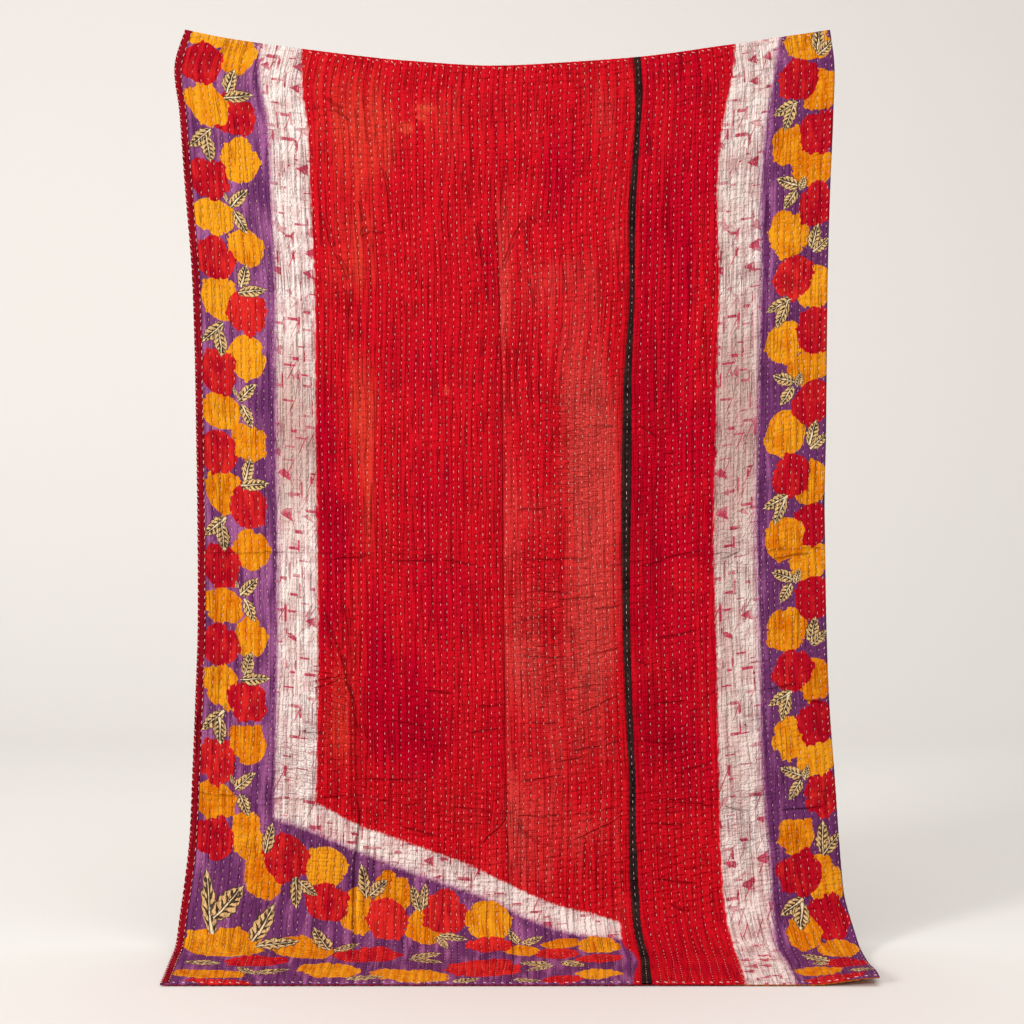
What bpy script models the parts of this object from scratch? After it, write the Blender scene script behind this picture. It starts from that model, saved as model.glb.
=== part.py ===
"""A kantha quilt that hangs from its top edge, sags between its top corners and runs forward over the floor.

Metres. +X is the viewer's right, +Z is up and the face looks along -Y. The origin is the middle of the top edge,
between the face cloth and the back cloth.
"""

import math
from collections import namedtuple

import bmesh
import bpy
from mathutils import Vector

GAP = 0.0003  # between two pieces that lie on each other or side by side
FACE_THICK = 0.0012  # the printed cloth of the face and the black strip
BACK_THICK = 0.0012
RIM_THICK = 0.0011  # the back cloth where it is turned over the left edge
RIM_WIDTH = 0.013
HEM_SHOWS = 0.0015  # how far the back cloth shows past the face at the hem
GROOVE = -0.00035  # the face under a row of stitches
CREST = 0.00040  # the face between two rows, at its mean
CREST_SPREAD = 0.00018
BACK_RELIEF = 0.00030
ROWS_LEFT = 57  # spaces between rows of stitches across each face panel
ROWS_RIGHT = 25
SAG = 0.0703  # of the top edge's middle under its corners

# Columns across each panel where the folds are given, counted in half spaces between rows.
FOLD_COLUMNS_LEFT = (
    0, 2, 8, 16, 24, 30, 34, 36, 38, 40, 42, 44, 46, 48, 54, 60, 66, 72, 76, 78, 80, 82, 84, 88, 96, 104, 110, 114,
)
FOLD_COLUMNS_RIGHT = (0, 6, 12, 20, 28, 34, 40, 44, 48, 50)

# The way down the cloth: the distance along it from the height of the top edge's middle, and its depth and height.
# Above that height it hangs straight.
PROFILE = (
    (0.000, 0.0000, 0.0000),
    (1.200, 0.0000, -1.2000),
    (1.300, 0.0000, -1.3000),
    (1.380, -0.0012, -1.3800),
    (1.450, -0.0038, -1.4499),
    (1.510, -0.0075, -1.5098),
    (1.555, -0.0117, -1.5546),
    (1.590, -0.0165, -1.5893),
    (1.620, -0.0225, -1.6187),
    (1.645, -0.0302, -1.6425),
    (1.665, -0.0393, -1.6602),
    (1.685, -0.0520, -1.6756),
    (1.705, -0.0678, -1.6878),
    (1.725, -0.0858, -1.6964),
    (1.750, -0.1099, -1.7030),
    (1.780, -0.1396, -1.7068),
    (1.820, -0.1796, -1.7088),
    (1.870, -0.2296, -1.7095),
    (1.955, -0.3146, -1.7096),
)

# Sections across the cloth from the top edge to the hem: the distance down the middle, the share of the top edge's
# sag, the left and right ends, and the black strip's two edges as shares of the width.
Section = namedtuple("Section", "v sag left right strip_left strip_right")
SECTIONS = [
    Section(*row)
    for row in (
        (0.0000, 1.000, -0.6290, 0.6294, 0.6957, 0.7058),
        (0.0600, 0.986, -0.6486, 0.6375, 0.6988, 0.7087),
        (0.1600, 0.963, -0.6402, 0.6357, 0.6954, 0.7035),
        (0.3000, 0.930, -0.6298, 0.6299, 0.6878, 0.6977),
        (0.4600, 0.891, -0.6165, 0.6252, 0.6885, 0.6953),
        (0.6200, 0.850, -0.6106, 0.6231, 0.6789, 0.6907),
        (0.7800, 0.810, -0.6077, 0.6216, 0.6757, 0.6905),
        (0.9200, 0.773, -0.6054, 0.6189, 0.6766, 0.6899),
        (0.9650, 0.760, -0.6049, 0.6196, 0.6761, 0.6890),
        (1.0100, 0.746, -0.6045, 0.6203, 0.6760, 0.6881),
        (1.1500, 0.700, -0.6047, 0.6233, 0.6763, 0.6874),
        (1.3000, 0.640, -0.6098, 0.6297, 0.6793, 0.6893),
        (1.4300, 0.570, -0.6149, 0.6398, 0.6797, 0.6887),
        (1.4580, 0.550, -0.6159, 0.6417, 0.6784, 0.6878),
        (1.4860, 0.526, -0.6168, 0.6434, 0.6772, 0.6870),
        (1.5450, 0.460, -0.6197, 0.6472, 0.6761, 0.6872),
        (1.6000, 0.380, -0.6250, 0.6509, 0.6763, 0.6884),
        (1.6400, 0.300, -0.6298, 0.6546, 0.6777, 0.6890),
        (1.6750, 0.230, -0.6329, 0.6619, 0.6760, 0.6866),
        (1.7050, 0.180, -0.6326, 0.6669, 0.6754, 0.6860),
        (1.7400, 0.130, -0.6306, 0.6687, 0.6761, 0.6872),
        (1.7900, 0.080, -0.6288, 0.6698, 0.6758, 0.6873),
        (1.8700, 0.030, -0.6222, 0.6660, 0.6724, 0.6852),
        (1.9546, 0.000, -0.6144, 0.6603, 0.6691, 0.6830),
    )
]

# The top edge: its height above its middle, as a share of the sag, at shares of the width.
EDGE_LINE = (
    (0.000, 1.000),
    (0.053, 0.806),
    (0.110, 0.640),
    (0.180, 0.472),
    (0.332, 0.167),
    (0.472, 0.010),
    (0.560, 0.060),
    (0.700, 0.250),
    (0.852, 0.610),
    (0.922, 0.800),
    (1.000, 1.000),
)

# Broad waves down the hanging cloth: the middle and half width as shares of the width, the height towards the
# viewer, and the distance down the cloth where each is strongest.
Wave = namedtuple("Wave", "middle half height strongest")
WAVES = [
    Wave(0.055, 0.075, -0.0045, 0.80),
    Wave(0.170, 0.080, 0.0050, 0.95),
    Wave(0.300, 0.100, -0.0060, 1.15),
    Wave(0.410, 0.080, 0.0035, 0.60),
    Wave(0.600, 0.110, 0.0095, 0.75),
    Wave(0.735, 0.070, -0.0065, 0.90),
    Wave(0.815, 0.060, 0.0040, 0.70),
    Wave(0.900, 0.070, -0.0050, 0.55),
]
WAVES_ON_FLOOR = 0.12  # the share of the waves' height that is left where the cloth lies, all of it upwards

# Creases: where each starts and ends, as columns of the left panel and distances down the cloth, its height and its
# half width in columns. The first is the fold down the middle, the second the long wrinkle at the left.
Crease = namedtuple("Crease", "start_column start_v end_column end_v height half")
CREASES = [
    Crease(80, 0.00, 80, 1.93, 0.0028, 4.5),
    Crease(38, 0.97, 44, 1.72, 0.0056, 5.5),
]
CREASE_RUN_OUT = 0.20  # the length over which a crease rises from each of its ends

# Folds straight across: the section each lies on, and its height.
CROSS_FOLDS = {8: -0.0022, 13: 0.0024}

RIGHT_CURL = 0.009  # how far the right edge turns back above the floor
CORNER_LIFT = 0.013  # of the lower right corner


def clamp(value):
    return min(1.0, max(0.0, value))


def smooth(value):
    t = clamp(value)
    return t * t * (3.0 - 2.0 * t)


def bump(value, middle, half):
    """1 at the middle, 0 from half away."""
    return 0.5 + 0.5 * math.cos(math.pi * min(1.0, abs(value - middle) / half))


def edge_line(u):
    for (u0, h0), (u1, h1) in zip(EDGE_LINE, EDGE_LINE[1:]):
        if u <= u1:
            return h0 + (h1 - h0) * (u - u0) / (u1 - u0)
    return EDGE_LINE[-1][1]


def profile(s):
    """The depth and height at this distance down the profile, on a smooth line through its points."""
    if s < 0.0:
        return 0.0, -s
    last = len(PROFILE) - 1
    i = min(last - 1, max(n for n in range(last) if PROFILE[n][0] <= s))
    width = PROFILE[i + 1][0] - PROFILE[i][0]
    t = (s - PROFILE[i][0]) / width
    found = []
    for axis in (1, 2):
        ends = []
        for n in (i, i + 1):
            before, after = PROFILE[max(0, n - 1)], PROFILE[min(last, n + 1)]
            ends.append((PROFILE[n][axis], width * (after[axis] - before[axis]) / (after[0] - before[0])))
        (p0, m0), (p1, m1) = ends
        found.append(
            (1.0 + 2.0 * t) * (1.0 - t) ** 2 * p0
            + t * (1.0 - t) ** 2 * m0
            + t * t * (3.0 - 2.0 * t) * p1
            + t * t * (t - 1.0) * m1
        )
    return found[0], found[1]


def folds(u, column, j):
    """How far the cloth stands towards the viewer here. The column is None right of the black strip."""
    v = SECTIONS[j].v
    hangs = 1.0 - smooth((v - 1.35) / 0.33)
    height = 0.0
    for wave in WAVES:
        strength = 0.25 + 0.75 * bump(v, wave.strongest, 0.80)
        share = wave.height * hangs + WAVES_ON_FLOOR * abs(wave.height) * (1.0 - hangs)
        height += share * bump(u, wave.middle, wave.half) * strength
    if column is not None:
        for crease in CREASES:
            t = (v - crease.start_v) / (crease.end_v - crease.start_v)
            if 0.0 <= t <= 1.0:
                middle = crease.start_column + t * (crease.end_column - crease.start_column)
                rise = smooth(min(v - crease.start_v, crease.end_v - v) / CREASE_RUN_OUT)
                uneven = 0.8 + 0.2 * math.sin(9.0 * v)
                height += crease.height * bump(column, middle, crease.half) * rise * uneven
    height += CROSS_FOLDS.get(j, 0.0) * (0.65 + 0.35 * math.sin(17.0 * u))
    curl = smooth((v - 0.9) / 0.5) * (1.0 - smooth((v - 1.62) / 0.08))
    height -= RIGHT_CURL * clamp((u - 0.955) / 0.045) ** 2 * curl
    height += CORNER_LIFT * smooth((u - 0.905) / 0.095) * smooth((v - 1.80) / 0.13)
    return height


def across(section, u, height):
    """The point this far across a section, u = 0..1 from the left end, and this far in front of the profile."""
    s = section.v - SAG * section.sag * edge_line(u)
    y, z = profile(s)
    y0, z0 = profile(s - 0.002)
    y1, z1 = profile(s + 0.002)
    down = Vector((0.0, y1 - y0, z1 - z0)).normalized()
    front = down.cross(Vector((1.0, 0.0, 0.0)))
    return Vector((section.left + (section.right - section.left) * u, y, z)) + front * height


def fold_grid():
    """The middle surface: points[k][j] for each fold column k and section j."""
    points = []
    for panel, columns, last in (
        ("left", FOLD_COLUMNS_LEFT, 2 * ROWS_LEFT),
        ("right", FOLD_COLUMNS_RIGHT, 2 * ROWS_RIGHT),
    ):
        for column in columns:
            line = []
            for j, section in enumerate(SECTIONS):
                if panel == "left":
                    u = section.strip_left * column / last
                else:
                    u = section.strip_right + (1.0 - section.strip_right) * column / last
                line.append(across(section, u, folds(u, column if panel == "left" else None, j)))
            points.append(line)
    return points


def front_normals(points):
    """The way the face looks at each point of the middle surface."""
    normals = []
    for k in range(len(points)):
        line = []
        for j in range(len(SECTIONS)):
            right = points[min(len(points) - 1, k + 1)][j] - points[max(0, k - 1)][j]
            down = points[k][min(len(SECTIONS) - 1, j + 1)] - points[k][max(0, j - 1)]
            line.append(down.cross(right).normalized())
        normals.append(line)
    return normals


GRID = fold_grid()
NORMALS = front_normals(GRID)
LEFT_LAST = len(FOLD_COLUMNS_LEFT) - 1  # the fold column along the black strip's left edge
RIGHT_FIRST = LEFT_LAST + 1


def place(k, t, j, height):
    """The point at share t from fold column k to k + 1 on section j, this far in front of the middle surface."""
    k1 = min(k + 1, len(GRID) - 1)
    point = GRID[k][j].lerp(GRID[k1][j], t)
    normal = NORMALS[k][j].lerp(NORMALS[k1][j], t).normalized()
    return point + normal * height


def fine_columns(columns, first, step):
    """(fold column, share, column) for every step-th column of a panel whose fold columns start at first."""
    found = []
    for i, (c0, c1) in enumerate(zip(columns, columns[1:])):
        found += [(first + i, (c - c0) / (c1 - c0), c) for c in range(c0, c1, step)]
    found.append((first + len(columns) - 2, 1.0, columns[-1]))
    return found


def relief(column, last, j):
    """The quilting: low along each row of stitches and raised between two rows, as uneven as puckered cloth."""
    if column in (0, last):
        return 0.6 * GROOVE
    if column % 2 == 0:
        return GROOVE
    spread = math.sin(2.39 * column + 1.3 * j) * math.cos(0.71 * column - 2.1 * j)
    return CREST + CREST_SPREAD * spread


def trimmed(line, trim):
    """A line of points from top to hem, made shorter by trim at the hem."""
    last = line[-2] - line[-1]
    return line[:-1] + [line[-1] + last.normalized() * trim]


def cloth(name, outer, inner, colour):
    """One closed piece between two chains of lines, each line a list of points from top to hem.

    Each chain is a list of (share, line), and both run the same way, from left to right on the face.
    """
    mesh = bmesh.new()
    chains = []
    for chain in (outer, inner):
        chains.append([[mesh.verts.new(point) for point in line] for _, line in chain])
    count = len(chains[0][0])

    for chain in chains:
        for a, b in zip(chain, chain[1:]):
            for j in range(count - 1):
                mesh.faces.new((a[j], b[j], b[j + 1]))
                mesh.faces.new((a[j], b[j + 1], a[j + 1]))
    for end in (0, -1):
        a, b = chains[0][end], chains[1][end]
        for j in range(count - 1):
            mesh.faces.new((a[j], b[j], b[j + 1]))
            mesh.faces.new((a[j], b[j + 1], a[j + 1]))
    for j in (0, count - 1):
        a, b = 0, 0
        while a < len(outer) - 1 or b < len(inner) - 1:
            step_outer = b == len(inner) - 1 or (
                a < len(outer) - 1 and outer[a + 1][0] <= inner[b + 1][0]
            )
            if step_outer:
                mesh.faces.new((chains[0][a][j], chains[0][a + 1][j], chains[1][b][j]))
                a += 1
            else:
                mesh.faces.new((chains[0][a][j], chains[1][b + 1][j], chains[1][b][j]))
                b += 1
    bmesh.ops.recalc_face_normals(mesh, faces=mesh.faces)
    data = bpy.data.meshes.new(name)
    mesh.to_mesh(data)
    mesh.free()

    material = bpy.data.materials.new(name)
    material.use_nodes = True
    shader = material.node_tree.nodes["Principled BSDF"]
    shader.inputs["Base Color"].default_value = colour
    shader.inputs["Roughness"].default_value = 0.9
    data.materials.append(material)
    obj = bpy.data.objects.new(name, data)
    bpy.context.scene.collection.objects.link(obj)
    return obj


def all_sections(k, t, height):
    """A line of points from top to hem, with the height a number or a function of the section."""
    if callable(height):
        return [place(k, t, j, height(j)) for j in range(len(SECTIONS))]
    return [place(k, t, j, height) for j in range(len(SECTIONS))]


def panel(name, columns, first, colour, flat):
    """A face panel. Its first flat columns have no quilting, as under the turned-over edge."""
    last = columns[-1]
    outer = []
    for k, t, c in fine_columns(columns, first, 1):
        def height(j, c=c):
            return 0.5 * GAP + FACE_THICK + (0.0 if c < flat else relief(c, last, j))

        outer.append((c / last, trimmed(all_sections(k, t, height), HEM_SHOWS)))
    inner = []
    for i, c in enumerate(columns):
        k, t = (first + i, 0.0) if i < len(columns) - 1 else (first + i - 1, 1.0)
        inner.append((c / last, trimmed(all_sections(k, t, 0.5 * GAP), HEM_SHOWS)))
    return cloth(name, outer, inner, colour)


def strip(colour):
    """The black strip, in the slot between the two panels, with a row of stitches down its middle."""
    k = LEFT_LAST
    lines = {"outer": [], "inner": []}
    width = [(GRID[k + 1][j] - GRID[k][j]).length for j in range(len(SECTIONS))]
    heights = (0.5 * GAP + 0.0009, 0.5 * GAP + 0.0013, 0.5 * GAP + 0.0009, 0.5 * GAP + 0.0013, 0.5 * GAP + 0.0009)
    for share, height in zip((0.0, 0.25, 0.5, 0.75, 1.0), heights):
        line = []
        for j in range(len(SECTIONS)):
            side = GAP / width[j]
            line.append(place(k, side + (1.0 - 2.0 * side) * share, j, height))
        lines["outer"].append((share, trimmed(line, HEM_SHOWS)))
    for share in (0.0, 1.0):
        line = []
        for j in range(len(SECTIONS)):
            side = GAP / width[j]
            line.append(place(k, side + (1.0 - 2.0 * side) * share, j, 0.5 * GAP))
        lines["inner"].append((share, trimmed(line, HEM_SHOWS)))
    return cloth("black_strip", lines["outer"], lines["inner"], colour)


def back(colour):
    """The back cloth, with its left edge turned round the face panel's edge onto the face as a narrow hem."""
    under = 0.5 * GAP + FACE_THICK + GAP  # of the turned edge's underside above the middle surface
    middle = 0.5 * (under - 0.5 * GAP)
    inner_radius = middle + 0.5 * GAP
    outer_low = 0.5 * GAP + BACK_THICK
    outer_radius = 0.5 * (under + RIM_THICK + outer_low)
    outer_middle = 0.5 * (under + RIM_THICK - outer_low)

    def beside(offset, height):
        """A line this far to the right of the left end, along the face, and this far in front of it."""
        line = []
        for j in range(len(SECTIONS)):
            right = (GRID[1][j] - GRID[0][j]).normalized()
            front = NORMALS[0][j]
            front = (front - right * front.dot(right)).normalized()
            line.append(GRID[0][j] + right * offset + front * height)
        return line

    outer = [
        (-0.30, beside(RIM_WIDTH, under + 0.75 * RIM_THICK)),
        (-0.25, beside(RIM_WIDTH - 0.003, under + 0.85 * RIM_THICK)),
        (-0.20, beside(0.5 * RIM_WIDTH, under + 1.35 * RIM_THICK)),
        (-0.15, beside(0.002, under + 0.95 * RIM_THICK)),
    ]
    inner = [
        (-0.30, beside(RIM_WIDTH, under)),
        (-0.15, beside(0.0, under)),
    ]
    for i, share in enumerate((-0.12, -0.09, -0.06, -0.03)):
        angle = math.radians((60.0, 20.0, -20.0, -60.0)[i])
        outer.append(
            (share, beside(-outer_radius * math.cos(angle), outer_middle + outer_radius * math.sin(angle)))
        )
    for share, degrees in ((-0.11, 40.0), (-0.075, 0.0), (-0.04, -40.0)):
        angle = math.radians(degrees)
        inner.append(
            (share, beside(-inner_radius * math.cos(angle), middle + inner_radius * math.sin(angle)))
        )

    def back_height(c, last):
        if c in (0, last):
            return -outer_low
        return -outer_low + (BACK_RELIEF if c % 4 == 0 else -BACK_RELIEF)

    left, right = FOLD_COLUMNS_LEFT, FOLD_COLUMNS_RIGHT
    for k, t, c in fine_columns(left, 0, 2):
        outer.append((c / left[-1], all_sections(k, t, back_height(c, left[-1]))))
    for k, t, c in fine_columns(right, RIGHT_FIRST, 2):
        outer.append((1.1 + c / right[-1], all_sections(k, t, back_height(c, right[-1]))))
    for k in range(len(GRID)):
        if k <= LEFT_LAST:
            share = left[k] / left[-1]
        else:
            share = 1.1 + right[k - RIGHT_FIRST] / right[-1]
        inner.append((share, all_sections(k, 0.0, -0.5 * GAP)))
    return cloth("back_cloth", outer, inner, colour)


for old in list(bpy.data.objects):
    bpy.data.objects.remove(old, do_unlink=True)

panel("face_panel_left", FOLD_COLUMNS_LEFT, 0, (0.560, 0.018, 0.020, 1.0), 3)
panel("face_panel_right", FOLD_COLUMNS_RIGHT, RIGHT_FIRST, (0.520, 0.010, 0.018, 1.0), 0)
strip((0.012, 0.009, 0.010, 1.0))
back((0.360, 0.012, 0.020, 1.0))
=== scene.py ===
"""The looks of the kantha quilt: its printed face, its puckers and its rows of running stitch.

Metres, in the part's own frame: +X is the viewer's right, +Z is up and the face looks along -Y. On the hanging
cloth, u is a share of its width and v a distance down its middle. On a panel laid flat, x is measured from its
left edge and t down from its top edge. A column is half the space between two rows of stitches.
"""

import math
from functools import partial, partialmethod

import bpy
import numpy as np
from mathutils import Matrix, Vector


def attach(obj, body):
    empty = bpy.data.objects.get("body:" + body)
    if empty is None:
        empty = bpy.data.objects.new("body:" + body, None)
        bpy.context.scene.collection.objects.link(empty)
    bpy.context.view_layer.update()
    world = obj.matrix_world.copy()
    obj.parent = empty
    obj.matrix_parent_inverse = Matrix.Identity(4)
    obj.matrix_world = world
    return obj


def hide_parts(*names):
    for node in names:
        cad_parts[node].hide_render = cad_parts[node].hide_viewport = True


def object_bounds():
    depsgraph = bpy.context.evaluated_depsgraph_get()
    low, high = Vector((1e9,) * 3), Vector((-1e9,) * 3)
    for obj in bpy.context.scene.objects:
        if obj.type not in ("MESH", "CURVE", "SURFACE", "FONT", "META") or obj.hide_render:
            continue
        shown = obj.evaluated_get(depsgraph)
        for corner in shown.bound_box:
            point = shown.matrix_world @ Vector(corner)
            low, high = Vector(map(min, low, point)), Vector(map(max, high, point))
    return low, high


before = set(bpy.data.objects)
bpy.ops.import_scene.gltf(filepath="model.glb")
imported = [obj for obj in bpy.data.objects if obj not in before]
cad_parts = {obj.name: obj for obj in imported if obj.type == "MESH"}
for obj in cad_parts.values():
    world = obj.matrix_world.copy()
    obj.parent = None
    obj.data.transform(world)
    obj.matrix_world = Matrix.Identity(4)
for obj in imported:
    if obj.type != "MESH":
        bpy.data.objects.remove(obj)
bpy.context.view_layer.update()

# ---------------------------------------------------------------------------------------------------------------
# The shape in which the cloth hangs, as the solids have it
# ---------------------------------------------------------------------------------------------------------------

LENGTH = 1.9546
WIDTH = 1.25  # about, for distances between shares of the width
LEFT_WIDTH, RIGHT_WIDTH = 0.860, 0.385  # of each panel laid flat
BACK_WIDTH, STRIP_WIDTH = 1.27, 0.013  # of the other two pieces laid flat
SAG = 0.0703  # of the top edge's middle under its corners
ROWS_LEFT, ROWS_RIGHT = 57, 25  # spaces between rows of stitches
LAST_LEFT, LAST_RIGHT = 2 * ROWS_LEFT, 2 * ROWS_RIGHT  # each panel's last column
STRAY_LEFT, STRAY_RIGHT = 21, 31  # seeds of the rows' small strays
LAYER = 0.00135  # from the middle surface to each side of the cloth, before its puckers
TURNED_IN = 0.0001  # the same at the edges, where the two sides meet
STEPS_DOWN = 427  # points down each piece of the face

# The way down the cloth: the distance along it, its depth and its height.
PROFILE = (
    (0.0, 0.0, 0.0), (1.2, 0.0, -1.2), (1.3, 0.0, -1.3), (1.38, -0.0012, -1.38), (1.45, -0.0038, -1.4499),
    (1.51, -0.0075, -1.5098), (1.555, -0.0117, -1.5546), (1.59, -0.0165, -1.5893), (1.62, -0.0225, -1.6187),
    (1.645, -0.0302, -1.6425), (1.665, -0.0393, -1.6602), (1.685, -0.052, -1.6756),
    (1.705, -0.0678, -1.6878), (1.725, -0.0858, -1.6964), (1.75, -0.1099, -1.703), (1.78, -0.1396, -1.7068),
    (1.82, -0.1796, -1.7088), (1.87, -0.2296, -1.7095), (1.955, -0.3146, -1.7096),
)

# Distance down the middle, share of the top edge's sag, left and right ends, the black strip's edges as shares.
SECTIONS = (
    (0.0, 1.0, -0.629, 0.6294, 0.6957, 0.7058), (0.06, 0.986, -0.6486, 0.6375, 0.6988, 0.7087),
    (0.16, 0.963, -0.6402, 0.6357, 0.6954, 0.7035), (0.3, 0.93, -0.6298, 0.6299, 0.6878, 0.6977),
    (0.46, 0.891, -0.6165, 0.6252, 0.6885, 0.6953), (0.62, 0.85, -0.6106, 0.6231, 0.6789, 0.6907),
    (0.78, 0.81, -0.6077, 0.6216, 0.6757, 0.6905), (0.92, 0.773, -0.6054, 0.6189, 0.6766, 0.6899),
    (0.965, 0.76, -0.6049, 0.6196, 0.6761, 0.689), (1.01, 0.746, -0.6045, 0.6203, 0.676, 0.6881),
    (1.15, 0.7, -0.6047, 0.6233, 0.6763, 0.6874), (1.3, 0.64, -0.6098, 0.6297, 0.6793, 0.6893),
    (1.43, 0.57, -0.6149, 0.6398, 0.6797, 0.6887), (1.458, 0.55, -0.6159, 0.6417, 0.6784, 0.6878),
    (1.486, 0.526, -0.6168, 0.6434, 0.6772, 0.687), (1.545, 0.46, -0.6197, 0.6472, 0.6761, 0.6872),
    (1.6, 0.38, -0.625, 0.6509, 0.6763, 0.6884), (1.64, 0.3, -0.6298, 0.6546, 0.6777, 0.689),
    (1.675, 0.23, -0.6329, 0.6619, 0.676, 0.6866), (1.705, 0.18, -0.6326, 0.6669, 0.6754, 0.686),
    (1.74, 0.13, -0.6306, 0.6687, 0.6761, 0.6872), (1.79, 0.08, -0.6288, 0.6698, 0.6758, 0.6873),
    (1.87, 0.03, -0.6222, 0.666, 0.6724, 0.6852), (1.9546, 0.0, -0.6144, 0.6603, 0.6691, 0.683),
)

# The top edge: its height above its middle, as a share of the sag, at shares of the width.
EDGE_LINE = (
    (0.0, 1.0), (0.053, 0.806), (0.11, 0.64), (0.18, 0.472), (0.332, 0.167), (0.472, 0.01), (0.56, 0.06),
    (0.7, 0.25), (0.852, 0.61), (0.922, 0.8), (1.0, 1.0),
)

# Broad waves: middle and half width as shares of the width, height, and where each is strongest.
WAVES = (
    (0.055, 0.075, -0.0045, 0.8), (0.17, 0.08, 0.005, 0.95), (0.3, 0.1, -0.006, 1.15),
    (0.41, 0.08, 0.0035, 0.6), (0.6, 0.11, 0.0095, 0.75), (0.735, 0.07, -0.0065, 0.9),
    (0.815, 0.06, 0.004, 0.7), (0.9, 0.07, -0.005, 0.55),
)

# Wrinkles: start and end as shares of the width and distances down the cloth, then the height and
# the half width. A negative height is a soft trough. The first two are the long folds that the solids have too.
WRINKLES = (
    # u0, v0, u1, v1, height, half
    (0.4755, 0.02, 0.474, 1.92, 0.0026, 0.02), (0.226, 0.98, 0.262, 1.72, 0.0054, 0.022),
    # beside the long wrinkle at the left
    (0.205, 1.06, 0.25, 1.28, 0.0044, 0.007), (0.253, 1.22, 0.264, 1.54, 0.0052, 0.006),
    (0.264, 1.48, 0.274, 1.78, 0.005, 0.006), (0.194, 1.06, 0.239, 1.28, -0.003, 0.007),
    (0.244, 1.22, 0.255, 1.54, -0.004, 0.006), (0.255, 1.48, 0.265, 1.78, -0.0036, 0.006),
    (0.19, 1.12, 0.226, 1.2, 0.0008, 0.006), (0.185, 1.17, 0.223, 1.14, 0.0007, 0.006),
    (0.486, 0.2, 0.488, 1.5, -0.0028, 0.009),
    # across the middle
    (0.0, 0.955, 0.33, 0.962, -0.0016, 0.01), (0.33, 0.962, 0.7, 0.972, -0.0018, 0.01),
    (0.7, 0.968, 1.0, 0.95, -0.0016, 0.01), (0.1, 0.975, 0.3, 0.985, 0.0008, 0.008),
    (0.5, 0.99, 0.66, 0.985, 0.0008, 0.008),
    # across the lower third
    (0.05, 1.455, 0.4, 1.452, 0.0017, 0.012), (0.4, 1.452, 0.75, 1.462, 0.0016, 0.012),
    (0.75, 1.462, 0.98, 1.45, 0.001, 0.012), (0.16, 1.435, 0.3, 1.44, -0.0008, 0.007),
    (0.19, 1.472, 0.36, 1.476, -0.0009, 0.007), (0.3, 1.492, 0.44, 1.488, 0.0008, 0.007),
    (0.33, 1.425, 0.47, 1.432, 0.0007, 0.007),
    # the star of short wrinkles right of the middle fold
    (0.49, 1.455, 0.54, 1.425, 0.001, 0.007), (0.488, 1.47, 0.545, 1.5, 0.0009, 0.007),
    (0.486, 1.44, 0.5, 1.39, 0.0008, 0.006), (0.47, 1.462, 0.42, 1.44, 0.0008, 0.007),
    # the pointed fold high up in the middle
    (0.525, 0.285, 0.494, 0.36, 0.0016, 0.008), (0.527, 0.285, 0.545, 0.33, 0.0012, 0.008),
    (0.515, 0.33, 0.5, 0.47, 0.0011, 0.009),
)


def metres(rows):
    """Rows that are typed in millimetres."""
    return tuple(tuple(value / 1000 for value in row) for row in rows)


def flower_rows(rows):
    """Rows of a colour, four lengths that are typed in millimetres, and a turn in degrees."""
    return tuple((colour, *(value / 1000 for value in lengths), turn) for colour, *lengths, turn in rows)


def curve(table, x):
    """A smooth line through a table's points: x values, then one or more columns of values, at x."""
    table = np.asarray(table, float)
    xs, ys = table[:, 0], table[:, 1:]
    slopes = np.gradient(ys, xs, axis=0)
    x = np.clip(x, xs[0], xs[-1])
    i = np.clip(np.searchsorted(xs, x, side="right") - 1, 0, len(xs) - 2)
    h = (xs[i + 1] - xs[i])[..., None]
    t = (x - xs[i])[..., None] / h
    found = (
        (1 + 2 * t) * (1 - t) ** 2 * ys[i]
        + t * (1 - t) ** 2 * h * slopes[i]
        + t * t * (3 - 2 * t) * ys[i + 1]
        + t * t * (t - 1) * h * slopes[i + 1]
    )
    return found[..., 0] if found.shape[-1] == 1 else found


def smooth(value):
    t = np.clip(value, 0.0, 1.0)
    return t * t * (3.0 - 2.0 * t)


def bump(value, middle, half):
    return 0.5 + 0.5 * np.cos(math.pi * np.minimum(1.0, np.abs(value - middle) / half))


def random_field(seed, x, y, size_x, size_y):
    """Smooth random values, about -1 to 1, with features of the given sizes along x and y."""
    gx, gy = np.asarray(x, float) / size_x + 100.37, np.asarray(y, float) / size_y + 100.71
    ix, iy = np.floor(gx).astype(int), np.floor(gy).astype(int)
    fx, fy = smooth(gx - ix), smooth(gy - iy)
    values = np.random.default_rng(seed).uniform(-1.0, 1.0, (512, 512))

    def at(a, b):
        return values[a % 512, b % 512]

    top = at(ix, iy) * (1 - fx) + at(ix + 1, iy) * fx
    low = at(ix, iy + 1) * (1 - fx) + at(ix + 1, iy + 1) * fx
    return top * (1 - fy) + low * fy

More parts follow.
